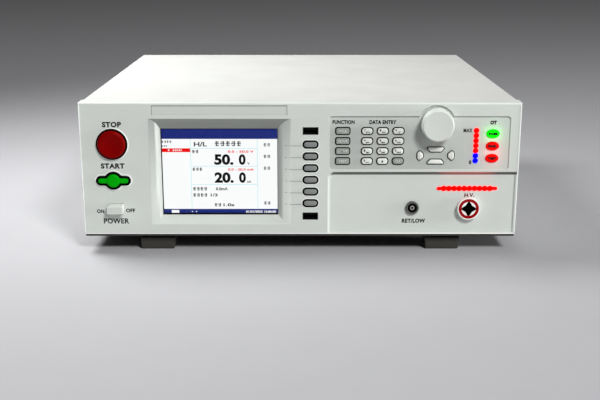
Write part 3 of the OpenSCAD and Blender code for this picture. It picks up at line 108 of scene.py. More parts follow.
@dataclass(frozen=True)
class Nodes:
    """The nodes of one material, added one after another."""

    tree: bpy.types.NodeTree

    def add(self, kind: str, feeds: dict[str, Feed]) -> bpy.types.Node:
        """Add a node and feed its inputs.

        Args:
            kind: the node's type.
            feeds: a value or another node's output for each input.

        Returns:
            The node.
        """
        node = self.tree.nodes.new(kind)
        self.feed(node, feeds)
        return node

    def feed(self, node: bpy.types.Node, feeds: dict[str | int, Feed]) -> None:
        """Set the inputs of a node that have a value, and link the others.

        Args:
            node: the node.
            feeds: a value or another node's output for each input.
        """
        for name, value in feeds.items():
            if isinstance(value, Socket):
                self.tree.links.new(value, node.inputs[name])
            else:
                node.inputs[name].default_value = value

    def noise(self, place: Socket, size: float, detail: float) -> Socket:
        """Add a noise of one size in millimetres and return its value."""
        feeds = {"Vector": place, "Scale": 1 / (size * MM), "Detail": detail}
        return self.add("ShaderNodeTexNoise", feeds).outputs["Fac"]

    def cells(self, place: Socket, size: float) -> bpy.types.Node:
        """Add cells of one size in millimetres."""
        return self.add("ShaderNodeTexVoronoi", {"Vector": place, "Scale": 1 / (size * MM)})

    def span(self, value: Socket, start: float, end: float, low: float = 0.0,
             high: float = 1.0) -> Socket:
        """Map the span from start to end to the span from low to high."""
        feeds = {"Value": value, "From Min": start, "From Max": end, "To Min": low, "To Max": high}
        return self.add("ShaderNodeMapRange", feeds).outputs["Result"]

    def mix(self, share: Socket, first: Feed, second: Feed) -> Socket:
        """Mix two colours.

        Args:
            share: how much of the second colour there is, from 0 to 1.
            first: the first colour.
            second: the second colour.

        Returns:
            The mixed colour.
        """
        node = self.tree.nodes.new("ShaderNodeMix")
        node.data_type = "RGBA"
        self.feed(node, {0: share, 6: first, 7: second})
        return node.outputs[2]

    def maths(self, operation: str, *values: Feed) -> Socket:
        """Work out one operation.

        Args:
            operation: Blender's word for it.
            values: what it takes, in order.

        Returns:
            The result.
        """
        node = self.tree.nodes.new("ShaderNodeMath")
        node.operation = operation
        self.feed(node, dict(enumerate(values)))
        return node.outputs[0]

    def axis(self, vector: Socket, name: str) -> Socket:
        """Return one axis of a vector."""
        return self.add("ShaderNodeSeparateXYZ", {"Vector": vector}).outputs[name]


@dataclass(frozen=True)
class Finish:
    """One finish, with the grain, mottling and gloss that its nodes draw.

    The grain is the size of the surface texture and the relief its height,
    both in millimetres. The mottle is the share by which the colour varies.
    """

    name: str
    surface: Surface
    colour: Colour
    roughness: float = 0.5
    grain: float = 0.6
    relief: float = 0.012
    mottle: float = 0.03
    glow: float = 0.0
    gloss: float = 0.5

    def material(self) -> bpy.types.Material:
        """Return this finish's material, made the first time it is asked for."""
        found = bpy.data.materials.get(f"{self.name}_finish")
        return found or self._build()

    def _tone(self, gain: float) -> tuple[float, ...]:
        """Turn the screen colour into a linear one, lighter or darker by a factor.

        Args:
            gain: factor on the linear values.

        Returns:
            Linear red, green, blue and an alpha of one.
        """
        parts = []
        for value in self.colour:
            share = value / 255
            line = share / 12.92 if share <= 0.04045 else ((share + 0.055) / 1.055) ** 2.4
            parts.append(min(line * gain, 1.0))
        return (*parts, 1.0)

    def _build(self) -> bpy.types.Material:
        """Build the node material.

        Returns:
            The new material.
        """
        broad_size, unlit = 35.0, (0.004, 0.004, 0.005, 1.0)
        made = bpy.data.materials.new(f"{self.name}_finish")
        made.use_nodes = True
        nodes = Nodes(made.node_tree)
        place = nodes.add("ShaderNodeTexCoord", {}).outputs["Object"]
        broad = nodes.noise(place, broad_size, 3.0)
        fine = nodes.noise(place, self.grain, 2.0)
        colour = self._tint(nodes, place, broad, fine)
        feeds = {"Base Color": unlit if self.surface is Surface.SCREEN else colour,
                 "Roughness": self._sheen(nodes, broad, fine),
                 "Specular IOR Level": self.gloss}
        if self.surface in (Surface.METAL, Surface.SPANGLE):
            feeds["Metallic"] = 1.0
        if self.surface is Surface.GLASS:
            feeds |= {"Transmission Weight": 1.0, "IOR": 1.1}
        if self.glow > 0:
            feeds |= {"Emission Color": colour, "Emission Strength": self.glow}
        if self.relief > 0:
            bump = {"Height": fine, "Strength": 1.0, "Distance": self.relief * MM}
            feeds["Normal"] = nodes.add("ShaderNodeBump", bump).outputs["Normal"]
        nodes.feed(made.node_tree.nodes["Principled BSDF"], feeds)
        return made

    def _tint(self, nodes: Nodes, place: Socket, broad: Socket, fine: Socket) -> Socket:
        """Draw the mottled colour, with the spangle, tracks or painted shade of its surface.

        Args:
            nodes: the material's nodes.
            place: the place on the object.
            broad: the wide noise.
            fine: the noise of the grain.

        Returns:
            The colour.
        """
        source = fine if self.surface in (Surface.RUBBER, Surface.INK, Surface.LENS) else broad
        share = nodes.span(source, *NOISE_SPAN)
        if self.surface is Surface.SPANGLE:
            share = nodes.cells(place, self.grain).outputs["Color"]
        colour = nodes.mix(share, self._tone(1 - self.mottle), self._tone(1 + self.mottle))
        if self.surface is Surface.BOARD:
            track_pitch, track_tone, track_edges = 2.4, 1.9, (0.02, 0.05)
            tracks = nodes.cells(place, track_pitch)
            tracks.feature = "DISTANCE_TO_EDGE"
            lines = nodes.span(tracks.outputs["Distance"], *track_edges)
            colour = nodes.mix(lines, self._tone(track_tone), colour)
        # the panel's colour gets painted shade on its down-turned slopes and its sunk keypad floor
        if self.surface is Surface.PANEL:
            colour = self._paint_shade(nodes, place, colour)
        return colour

    def _paint_shade(self, nodes: Nodes, place: Socket, colour: Socket) -> Socket:
        """Paint shade on the slopes that turn down and on the keypad's sunk floor, darker to the
        left and lower down.

        Args:
            nodes: the material's nodes.
            place: the place on the object.
            colour: the panel's colour.

        Returns:
            The colour with both tones laid over it.
        """
        slope_shade_tone, floor_shade_tone = 0.2, 0.72
        lit_x, dark_x = 200 * MM, 140 * MM
        lit_z, dark_z = at(0, 0, 119).z, at(0, 0, 104).z
        normal = nodes.add("ShaderNodeNewGeometry", {}).outputs["True Normal"]
        # painted shade: faces that turn down are darkened
        down = nodes.span(nodes.axis(normal, "Z"), -0.38, -0.7)
        # painted shade on the keypad's sunk floor, darker to the left and lower down
        sunk = nodes.maths("COMPARE", nodes.axis(place, "Y"), at(0, KEYPAD_DEPTH, 0).y, 0.3 * MM)
        for share in (nodes.span(nodes.axis(place, "X"), lit_x, dark_x, 0.1, 1.0),
                      nodes.span(nodes.axis(place, "Z"), lit_z, dark_z, 0.15, 1.0),
                      nodes.span(nodes.axis(normal, "Y"), -0.95, -0.99)):
            sunk = nodes.maths("MULTIPLY", sunk, share)
        colour = nodes.mix(sunk, colour, self._tone(floor_shade_tone))
        return nodes.mix(down, colour, self._tone(slope_shade_tone))

    def _sheen(self, nodes: Nodes, broad: Socket, fine: Socket) -> Socket:
        """Let the roughness wander a little round its value.

        Args:
            nodes: the material's nodes.
            broad: the wide noise.
            fine: the noise of the grain.

        Returns:
            The roughness.
        """
        if self.surface is Surface.GLASS:
            return nodes.span(broad, *NOISE_SPAN, 0.0, 0.02)
        source = fine if self.surface in (Surface.METAL, Surface.RUBBER) else broad
        swing = 0.02 if self.surface is Surface.PAINT else 0.05
        return nodes.span(source, *NOISE_SPAN, max(self.roughness - swing, 0.0),
                          min(self.roughness + swing, 1.0))


def lens_finish(name: str, colour: Colour, glow: float) -> Finish:
    """Return the finish of a lamp's lens."""
    return Finish(name, Surface.LENS, colour, 0.4, 0.8, 0.004, 0.04, glow, 0.05)


def ink_finish(name: str, colour: Colour, mottle: float = 0.1, gloss: float = 0.1) -> Finish:
    """Return the finish of a print."""
    return Finish(f"ink_{name}", Surface.INK, colour, 0.6, 0.12, 0.002, mottle, gloss=gloss)


def screen_finish(name: str, colour: Colour, mottle: float, glow: float = 1.0) -> Finish:
    """Return the finish of a colour on the lit screen."""
    return Finish(f"screen_{name}", Surface.SCREEN, colour, 0.4, 0.3, 0.0, mottle, glow, 0.1)


FINISHES: dict[str, Finish] = {
    "black_tray": Finish("tray_black", Surface.PAINT, (48, 46, 44), 0.45, 0.5, 0.02),
    "cover_paint": Finish("cover_white", Surface.PAINT, (214, 215, 211), 0.36, 0.7, 0.008, 0.015),
    "panel_paint": Finish("panel_grey", Surface.PANEL, (206, 211, 205), 0.45, 0.45, 0.008, 0.015),
    "rear_paint": Finish("rear_grey", Surface.PAINT, (196, 200, 196), 0.45, 0.6, 0.012),
    "plate_paint": Finish("plate_grey", Surface.PAINT, (201, 206, 200), 0.4, 0.3, 0.004, 0.015),
    "zinc_steel": Finish("zinc_plate", Surface.SPANGLE, (178, 182, 186), 0.38, 7.0, 0.003, 0.12),
    "screw_steel": Finish("screw_nickel", Surface.METAL, (190, 188, 182), 0.28, 0.2, 0.004, 0.06),
    "foot_rubber": Finish("foot_rubber", Surface.RUBBER, (56, 54, 49), 0.75, 0.4, 0.03, 0.12),
    "clear_window": Finish("window_clear", Surface.GLASS, (250, 252, 252), 0.0, 4.0, 0.0, 0.005),
    "lcd_metal": Finish("lcd_frame_metal", Surface.METAL, (150, 152, 154), 0.35, 0.3, 0.003, 0.06),
    "board_green": Finish("board_green", Surface.BOARD, (22, 84, 46), 0.35, 0.4, 0.006, 0.1),
    "shaft_metal": Finish("shaft_steel", Surface.METAL, (170, 168, 164), 0.3, 0.15, 0.004, 0.08),
    "knob_grey": Finish("knob_grey", Surface.PLASTIC, (208, 213, 207), 0.36, 0.4, 0.006, 0.015),
    "stop_red": Finish("stop_red", Surface.PLASTIC, (124, 0, 0), 0.4, 0.5, 0.004, 0.05, gloss=0.04),
    "start_green": Finish(
        "start_green", Surface.PLASTIC, (0, 162, 6), 0.4, 0.5, 0.004, 0.05, gloss=0.05),
    "power_white": Finish("power_white", Surface.PLASTIC, (222, 226, 220), 0.4, 0.4, 0.006, 0.015),
    "black_plastic": Finish(
        "black_plastic", Surface.PLASTIC, (3, 3, 3), 0.6, 0.4, 0.01, 0.1, gloss=0.05),
    "red_lens": lens_finish("lens_red", (255, 0, 0), 1.5),
    "blue_lens": lens_finish("lens_blue", (0, 0, 255), 1.5),
    "green_lens": lens_finish("lens_green", (0, 196, 0), 0.12),
    "insulator_white": Finish(
        "insulator_white", Surface.PLASTIC, (244, 244, 240), 0.3, 0.3, 0.003, 0.01),
    "ring_red": Finish("ring_red", Surface.PLASTIC, (150, 4, 8), 0.4, 0.3, 0.004, 0.05, gloss=0.1),
    "terminal_black": Finish(
        "terminal_black", Surface.PLASTIC, (92, 92, 90), 0.4, 0.3, 0.006, 0.06, gloss=0.3),
    "port_metal": Finish("port_nickel", Surface.METAL, (150, 148, 142), 0.3, 0.2, 0.003, 0.08),
    "transformer_iron": Finish("transformer_iron", Surface.PAINT, (70, 64, 58), 0.5, 0.8, 0.03, 0.1),
    "fan_black": Finish("fan_black", Surface.PLASTIC, (26, 26, 27), 0.45, 0.5, 0.01, 0.1),
    "post_brass": Finish("post_brass", Surface.METAL, (196, 160, 92), 0.28, 0.2, 0.004, 0.06),
    "soft_key_grey": Finish(
        "soft_key_grey", Surface.RUBBER, (128, 132, 129), 0.5, 0.3, 0.006, 0.03, gloss=0.3),
    "key_grey": Finish("key_grey", Surface.RUBBER, (148, 154, 148), 0.5, 0.3, 0.006, gloss=0.3),
    "key_white": Finish("key_white", Surface.RUBBER, (224, 227, 220), 0.45, 0.3, 0.006, 0.02),
}
# pale white for the rims round the soft keys and the start button; on the bezel's beads and round
# the stop button it is a painted highlight
RIM_AND_HIGHLIGHT_WHITE = Finish("rim_and_highlight_white", Surface.PLASTIC, (244, 246, 242), 0.4, 0.3, 0.003, 0.01)
OVAL_RED = lens_finish("lens_red_oval", (200, 0, 0), 0.12)
CONTACT = Finish("contact_tin", Surface.PLASTIC, (176, 176, 172), 0.4, 0.2, 0.004, 0.05)
# a darker copy of the power button's white: painted shade on its face against its lit top
SHADED_BUTTON_FACE = Finish("button_face", Surface.PLASTIC, (203, 207, 201), 0.45, 0.4, 0.006, 0.015)
# near black for the data ports' metal shells: painted shade for their deep openings
PORT_SHADE = Finish("port_shade", Surface.PLASTIC, (8, 8, 8), 0.6, 0.4, 0.01, 0.1, gloss=0.2)
FLOOR_PALE = Finish("floor_pale", Surface.PAINT, (176, 176, 179), 0.7, 3.0, 0.0, 0.01)
INK_BLACK = ink_finish("black", (14, 15, 15))
INK_PALE = ink_finish("pale", (204, 208, 202), 0.05, 0.3)
# dark ink for painted shadows: the line above and beside the nameplate, and the power button's lower
# left
INK_PAINTED_SHADOW = ink_finish("line", (72, 74, 70))
INK_GREY = Finish("ink_grey", Surface.INK, (116, 120, 116), 0.55, 0.12, 0.002, 0.1)
INK_WINE = ink_finish("wine", (104, 0, 32))
SCREEN_WHITE = screen_finish("white", (255, 255, 255), 0.004)
SCREEN_BLUE = screen_finish("blue", (26, 40, 118), 0.02)
SCREEN_CYAN = screen_finish("cyan", (176, 232, 236), 0.01)
SCREEN_RED = screen_finish("red", (240, 4, 4), 0.02)
SCREEN_BLACK = screen_finish("black", (6, 6, 8), 0.1, 0.2)
SCREEN_GREY = screen_finish("grey", (70, 72, 78), 0.05)


class Bench:
    """The modelling steps that the pieces share, each with Blender's own operators."""

    @staticmethod
    def clear() -> None:
        """Go back to object mode with nothing selected."""
        if bpy.context.mode != "OBJECT":
            bpy.ops.object.mode_set(mode="OBJECT")
        bpy.ops.object.select_all(action="DESELECT")

    @staticmethod
    def hold(piece: Piece) -> None:
        """Make one piece the only selected and the active one.

        Args:
            piece: the piece.
        """
        Bench.clear()
        piece.select_set(True)
        bpy.context.view_layer.objects.active = piece

    @staticmethod
    def edit(piece: Piece) -> None:
        """Open a piece in edit mode with all of it selected.

        Args:
            piece: the piece.
        """
        Bench.hold(piece)
        bpy.ops.object.mode_set(mode="EDIT")
        bpy.ops.mesh.select_mode(type="VERT")
        bpy.ops.mesh.select_all(action="SELECT")

    @staticmethod
    def settle(piece: Piece) -> None:
        """Put a piece's place, turn and size into its mesh."""
        Bench.hold(piece)
        bpy.ops.object.transform_apply(location=True, rotation=True, scale=True)

    @staticmethod
    def finish_mesh(piece: Piece, angle: float = 35.0) -> None:
        """Close the piece's back, merge doubles, face it outward and smooth it by angle.

        Args:
            piece: the piece, whose only open edges go round its back.
            angle: edges sharper than this stay sharp, in degrees.
        """
        double_gap = 2e-6
        Bench.edit(piece)
        bpy.ops.mesh.remove_doubles(threshold=double_gap)
        bpy.ops.mesh.select_all(action="DESELECT")
        bpy.ops.mesh.select_non_manifold()
        if any(edge.select for edge in bmesh.from_edit_mesh(piece.data).edges):
            bpy.ops.mesh.edge_face_add()
        bpy.ops.mesh.select_all(action="SELECT")
        bpy.ops.mesh.normals_make_consistent(inside=False)
        bpy.ops.object.mode_set(mode="OBJECT")
        bpy.ops.object.shade_smooth_by_angle(angle=math.radians(angle))

    @staticmethod
    def pull(distance: float) -> None:
        """Extrude what is selected by some millimetres, rearward if above 0."""
        bpy.ops.mesh.extrude_region_move(
            TRANSFORM_OT_translate={"value": Vector((0, distance, 0)) * MM})

    @staticmethod
    def thicken(piece: Piece, depth: float) -> None:
        """Give a flat piece a wall that reaches rearward.

        Args:
            piece: the flat piece, in object mode.
            depth: thickness of the wall, in millimetres.
        """
        wall = piece.modifiers.new("wall", "SOLIDIFY")
        wall.thickness = depth * MM
        wall.offset = -1 if piece.data.polygons[0].normal.y < 0 else 1
        bpy.ops.object.modifier_apply(modifier=wall.name)

    @staticmethod
    def outline(name: str, corners: list[Point], depth: float, corner: float,
                steps: int) -> Piece:
        """Lay a flat face with rounded corners, parallel to the panel.

        Args:
            name: the piece's name.
            corners: x and z of each corner, in millimetres on the panel.
            depth: millimetres behind the panel's face.
            corner: how far along each side the corner's rounding starts.
            steps: how many segments each rounding has.

        Returns:
            The piece, in edit mode, with the face selected.
        """
        Bench.clear()
        bpy.ops.mesh.primitive_circle_add(vertices=len(corners), radius=MM, fill_type="NGON",
                                          rotation=FACING_FRONT)
        piece = bpy.context.object
        piece.name = name
        Bench.settle(piece)
        turn = sum((b[0] - a[0]) * (b[1] + a[1]) for a, b in zip(corners, corners[1:] + corners[:1]))
        ordered = corners if turn > 0 else corners[::-1]
        if piece.data.polygons[0].normal.y < 0:
            ordered = ordered[::-1]
        for vertex, (x, z) in zip(piece.data.vertices, ordered):
            vertex.co = at(x, depth, z)
        Bench.edit(piece)
        if corner > 0:
            bpy.ops.mesh.bevel(offset=corner * MM, segments=steps, affect="VERTICES")
        bpy.ops.mesh.select_mode(type="FACE")
        bpy.ops.mesh.select_all(action="SELECT")
        return piece

    @staticmethod
    def prism(name: str, corners: list[Point], back: float, front: float, corner: float = 0.0,
              steps: int = 6, edge: float = 0.3, edge_steps: int = 3,
              slope: Point = (0.0, 0.0)) -> Piece:
        """Raise a flat outline to a closed cap with a soft front edge.

        Args:
            name: the piece's name.
            corners: x and z of each corner.
            back: depth of its back.
            front: depth of its front.
            corner: rounding of the outline's corners.
            steps: segments of each corner.
            edge: rounding of the front edge.
            edge_steps: segments of the front edge.
            slope: how wide and how deep a chamfer round the front is.

        Returns:
            The finished piece.
        """
        piece = Bench.outline(name, corners, back, corner, steps)
        width, fall = slope
        Bench.pull(front + fall - back)
        if width > 0:
            bpy.ops.mesh.inset(thickness=width * MM, depth=0)
            bpy.ops.transform.translate(value=Vector((0, -fall, 0)) * MM)
        if edge > 0:
            rim, face = (FRONT + front + fall + NEAR) * MM, (FRONT + front - NEAR) * MM
            Bench.pick_edges(piece, lambda a, b: max(a.y, b.y) < rim
                             and (width == 0 or min(a.y, b.y) > face))
            bpy.ops.mesh.bevel(offset=edge * MM, segments=edge_steps, affect="EDGES",
                               clamp_overlap=True)
        Bench.finish_mesh(piece)
        return piece

    @staticmethod
    def pick_edges(piece: Piece, test: Callable[[Vector, Vector], bool]) -> None:
        """Select the edges whose two ends pass a test on their places.

        Args:
            piece: the piece, in edit mode.
            test: takes the two ends and says whether their edge is wanted.
        """
        bpy.ops.mesh.select_mode(type="EDGE")
        bpy.ops.mesh.select_all(action="DESELECT")
        mesh = bmesh.from_edit_mesh(piece.data)
        for edge in mesh.edges:
            edge.select_set(test(edge.verts[0].co, edge.verts[1].co))
        bmesh.update_edit_mesh(piece.data)

    @staticmethod
    def ring(name: str, corners: list[Point], width: float, front: float, back: float,
             corner: float = 0.0, steps: int = 6) -> Piece:
        """Cut a flat frame of one width and give it thickness.

        Args:
            name: the piece's name.
            corners: x and z of the outer corners.
            width: how wide the frame is.
            front: depth of its face.
            back: depth of its back.
            corner: rounding of the outer corners.
            steps: segments of each corner.

        Returns:
            The finished piece.
        """
        piece = Bench.outline(name, corners, front, corner, steps)
        bpy.ops.mesh.inset(thickness=width * MM, depth=0)
        bpy.ops.mesh.delete(type="FACE")
        bpy.ops.object.mode_set(mode="OBJECT")
        Bench.thicken(piece, back - front)
        Bench.finish_mesh(piece)
        return piece

    @staticmethod
    def turned(name: str, centre: Point, profile: list[Point], steps: int = 48,
               angle: float = 35.0) -> Piece:
        """Turn a profile round an axis that stands out of the panel.

        Args:
            name: the piece's name.
            centre: x and z of the axis.
            profile: radius and depth of each point, closed on itself or on the axis.
            steps: how many segments the turn has.
            angle: edges sharper than this stay sharp, in degrees.

        Returns:
            The finished piece.
        """
        x, z = centre
        Bench.clear()
        bpy.ops.mesh.primitive_plane_add(size=MM)
        piece = bpy.context.object
        piece.name = name
        Bench.edit(piece)
        bpy.ops.mesh.merge(type="CENTER")
        places = [at(x + radius, depth, z) for radius, depth in profile]
        bpy.ops.transform.translate(value=places[0])
        for here, there in zip(places, places[1:]):
            bpy.ops.mesh.extrude_vertices_move(TRANSFORM_OT_translate={"value": there - here})
        bpy.ops.mesh.select_all(action="SELECT")
        bpy.ops.mesh.spin(steps=steps, angle=2 * math.pi, center=at(x, 0, z), axis=(0, 1, 0))
        Bench.finish_mesh(piece, angle)
        return piece

    @staticmethod
    def words(name: str, text: str, centre: Point, size: Point, depth: float,
              bold: float = 0.0, spacing: float = 1.0, raised: float = 0.05) -> Piece:
        """Set a short text on the panel at a given width and height.

        Args:
            name: the piece's name.
            text: what it says.
            centre: x and z of its middle.
            size: its width and height.
            depth: depth of the surface that it is printed on.
            bold: how far the strokes are widened.
            spacing: distance between letters, as a factor.
            raised: how far the print stands off the surface.

        Returns:
            The text as a mesh.
        """
        Bench.clear()
        bpy.ops.object.text_add(rotation=FACING_FRONT)
        piece = bpy.context.object
        piece.name = name
        piece.data.body = text
        piece.data.align_x = "CENTER"
        piece.data.align_y = "CENTER"
        piece.data.size = 1.0
        piece.data.fill_mode = "FRONT"
        piece.data.offset = bold
        piece.data.space_character = spacing
        piece.data.resolution_u = 3
        bpy.ops.object.convert(target="MESH")
        Bench.settle(piece)
        Bench.edit(piece)
        double_gap, flat_angle = 4e-3, 1
        bpy.ops.mesh.remove_doubles(threshold=double_gap)
        bpy.ops.mesh.dissolve_limited(angle_limit=math.radians(flat_angle))
        bpy.ops.mesh.select_all(action="SELECT")
        bpy.ops.mesh.extrude_region_move(TRANSFORM_OT_translate={"value": (0, 1, 0)})
        bpy.ops.mesh.select_all(action="SELECT")
        bpy.ops.mesh.normals_make_consistent(inside=False)
        bpy.ops.object.mode_set(mode="OBJECT")
        low = [min(v.co[i] for v in piece.data.vertices) for i in range(3)]
        high = [max(v.co[i] for v in piece.data.vertices) for i in range(3)]
        middle = [(a + b) / 2 for a, b in zip(low, high)]
        scale = (size[0] * MM / (high[0] - low[0]), 2 * raised * MM / (high[1] - low[1]),
                 size[1] * MM / (high[2] - low[2]))
        piece.location = at(centre[0], depth, centre[1]) - Vector(
            [m * s for m, s in zip(middle, scale)])
        piece.scale = scale
        Bench.settle(piece)
        return piece

    @staticmethod
    def cup(name: str, corners: list[Point], wall: float, front: float, floor: float,
            back: float, corner: float = 0.0, steps: int = 4) -> Piece:
        """Model a well with a thin wall, open to the front.

        Args:
            name: the piece's name.
            corners: x and z of the outer corners.
            wall: thickness of its wall.
            front: depth of its rim.
            floor: depth of its inner floor.
            back: depth of its back.
            corner: rounding of the corners.
            steps: segments of each corner.

        Returns:
            The finished piece.
        """
        piece = Bench.outline(name, corners, back, corner, steps)
        Bench.pull(front - back)
        bpy.ops.mesh.inset(thickness=wall * MM, depth=0)
        Bench.pull(floor - front)
        Bench.finish_mesh(piece)
        return piece

    @staticmethod
    def tiles(name: str, boxes: list[Box], front: float, back: float) -> Piece:
        """Lay thin flat marks on a surface, all in one mesh.

        Args:
            name: the piece's name.
            boxes: x and z of each mark's middle, and its width and height.
            front: depth of their faces.
            back: depth of their backs.

        Returns:
            The finished piece.
        """
        Bench.clear()
        for number, (x, z, width, height) in enumerate(boxes):
            middle = at(x, front, z)
            bpy.ops.mesh.primitive_plane_add(size=MM, location=middle, rotation=FACING_FRONT)
            if number == 0:
                piece = bpy.context.object
                piece.name = name
                Bench.settle(piece)
                bpy.ops.object.mode_set(mode="EDIT")
                bpy.ops.mesh.select_all(action="SELECT")
            bpy.ops.transform.resize(value=(width, 1, height), center_override=middle)
        bpy.ops.object.mode_set(mode="OBJECT")
        Bench.thicken(piece, back - front)
        return piece

    @staticmethod
    def copy(piece: Piece, name: str, x: float, z: float) -> Piece:
        """Copy a piece with its own mesh and move the copy across the panel.

        Args:
            piece: the piece that is copied.
            name: the copy's name.
            x: millimetres to the right.
            z: millimetres up.

        Returns:
            The copy, with its place in its mesh.
        """
        Bench.hold(piece)
        bpy.ops.object.duplicate(linked=False)
        twin = bpy.context.object
        twin.name = name
        twin.location = Vector((x, 0, z)) * MM
        Bench.settle(twin)
        return twin

    @staticmethod
    def face_back(piece: Piece) -> Piece:
        """Turn a piece half round the upright axis through the case's middle.

        Args:
            piece: the piece, modelled facing the front.

        Returns:
            The same piece, facing the rear.
        """
        Bench.hold(piece)
        bpy.ops.transform.rotate(value=math.pi, orient_axis="Z",
                                 center_override=at(0, CASE_DEPTH / 2, 0))
        Bench.settle(piece)
        return piece

    @staticmethod
    def swing(piece: Piece, x: float, depth: float, angle: float) -> Piece:
        """Turn a piece round an upright line in the front face, and sink it.

        Args:
            piece: the piece, modelled on the front face.
            x: where the line stands.
            depth: how far the line and the piece sink.
            angle: the turn in degrees, anticlockwise from above.

        Returns:
            The same piece.
        """
        turn = Matrix.Rotation(math.radians(angle), 4, "Z")
        piece.matrix_world = (Matrix.Translation(at(x, depth, 0)) @ turn
                              @ Matrix.Translation(-at(x, 0, 0)))
        Bench.settle(piece)
        return piece

    @staticmethod
    def join(name: str, pieces: list[Piece]) -> Piece:
        """Join pieces into the first one and name it.

        Args:
            name: the joined piece's name.
            pieces: one piece or more.

        Returns:
            The joined piece.
        """
        Bench.hold(pieces[0])
        for piece in pieces:
            piece.select_set(True)
        if len(pieces) > 1:
            bpy.ops.object.join()
        pieces[0].name = name
        return pieces[0]


def dress(piece: Piece, finish: Finish) -> None:
    """Give a whole piece one finish."""
    piece.data.materials.clear()
    piece.data.materials.append(finish.material())


def mount(piece: Piece, body: str, slot: str, *nodes: str,
          finish: Finish | None = None) -> Piece:
    """Dress a piece, set it on its body and hide the CAD nodes that it replaces.

    Args:
        piece: the finished piece.
        body: the CAD body that it moves with.
        slot: the material slot that it belongs to.
        nodes: the CAD nodes that it replaces.
        finish: its finish, when it isn't the slot's own.

    Returns:
        The same piece.
    """
    dress(piece, finish or FINISHES[slot])
    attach(piece, body)
    if nodes:
        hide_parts(*nodes)
    log.info("%s on %s, %d faces", piece.name, body, len(piece.data.polygons))
    return piece


def box_corners(centre: Point, width: float, height: float) -> list[Point]:
    """Find the four corners of an upright box.

    Args:
        centre: x and z of its middle.
        width: its width.
        height: its height.

    Returns:
        The corners, in order.
    """
    x, z = centre
    w, h = width / 2, height / 2
    return [(x - w, z - h), (x + w, z - h), (x + w, z + h), (x - w, z + h)]


def grown(corners: list[Point], distance: float) -> list[Point]:
    """Move every side of a convex outline outward by one distance.

    Args:
        corners: the outline, in order.
        distance: how far out, in millimetres.

    Returns:
        The corners of the larger outline.
    """
    middle = Vector((sum(c[0] for c in corners), sum(c[1] for c in corners))) / len(corners)
    sides = []
    for first, second in zip(corners, corners[1:] + corners[:1]):
        start, end = Vector(first), Vector(second)
        out = Vector((end.y - start.y, start.x - end.x)).normalized()
        if out.dot(start - middle) < 0:
            out = -out
        sides.append((start + out * distance, end - start))
    result = []
    for (start, way), (other, turn) in zip([sides[-1], *sides[:-1]], sides):
        cross = way.x * turn.y - way.y * turn.x
        gap = other - start
        reach = (gap.x * turn.y - gap.y * turn.x) / cross
        result.append((start.x + way.x * reach, start.y + way.y * reach))
    return result


def surround(corners: list[Point], surface: float, skirt: Point, lip: Point) -> tuple[Piece, Piece]:
    """Model the dark rubber skirt round a key and the lip of the hole round that.

    Args:
        corners: the key's outline, in order.
        surface: depth of the face that the key stands in.
        skirt: width of the skirt and rounding of its corners.
        lip: distance from the key to the lip's outer edge, and its rounding.

    Returns:
        The skirt and the lip.
    """
    width, corner = skirt
    reach, rounding = lip
    clearance, overlap = 0.12, 0.02
    dark = Bench.ring("skirt", grown(corners, width), width - clearance, surface - 0.3,
                      surface + 0.8, corner)
    pale = Bench.ring("lip", grown(corners, reach), reach - width + overlap, surface - 0.1,
                      surface + 0.5, rounding)
    return dark, pale


@dataclass(frozen=True)
class KeyShape:
    """The size of one kind of key, and of the dark skirt and the lip round it."""

    width: float
    height: float
    corner: float
    front: float
    edge: float
    surface: float
    skirt: float
    lip: float
    back: float = 4.5

    def lay(self, group: str, places: dict[str, Point], lip_finish: Finish | None = None) -> None:
        """Model one key with its skirt and lip, and copy all three to every place.

        Args:
            group: the word that the names of the skirts and lips start with.
            places: the middle of each key, under the name of its node.
            lip_finish: finish of the lips, when it isn't the panel's.
        """
        first = next(iter(places.values()))
        corners = box_corners(first, self.width, self.height)
        cap = Bench.prism("cap", corners, self.back, self.front, self.corner, steps=7,
                          edge=self.edge, edge_steps=4)
        skirt, lip = surround(corners, self.surface, (self.skirt, self.corner + self.skirt - 0.05),
                              (self.lip, self.corner + self.lip - 0.3))
        skirts, lips = [], []
        for node, (x, z) in places.items():
            move = (x - first[0], z - first[1])
            mount(Bench.copy(cap, f"{node}_cap", *move), node, SLOT_OF[node], node)
            skirts.append(Bench.copy(skirt, "skirt_copy", *move))
            lips.append(Bench.copy(lip, "lip_copy", *move))
        for piece in (cap, skirt, lip):
            bpy.data.objects.remove(piece)
        mount_surrounds(group, skirts, lips, lip_finish)


def mount_surrounds(group: str, skirts: list[Piece], lips: list[Piece],
                    lip_finish: Finish | None = None) -> None:
    """Join the skirts and the lips of a group of keys and mount both on the case.

    Args:
        group: the word that their names start with.
        skirts: the skirt of each key.
        lips: the lip of each key.
        lip_finish: finish of the lips, when it isn't the panel's.
    """
    mount(Bench.join(f"{group}_skirts", skirts), CASE, "black_plastic")
    mount(Bench.join(f"{group}_lips", lips), CASE, "panel_paint", finish=lip_finish)


@dataclass(frozen=True)
class Word:
    """A printed word: its name, text, middle, size, depth, boldness, ink and letter spacing."""

    name: str
    text: str
    x: float
    z: float
    width: float
    height: float
    depth: float
    bold: float
    ink: Finish
    spacing: float = LETTER_SPACING

    def cut(self) -> Piece:
        """Model the word."""
        return Bench.words(self.name, self.text, (self.x, self.z), (self.width, self.height),
                           self.depth, self.bold, self.spacing)


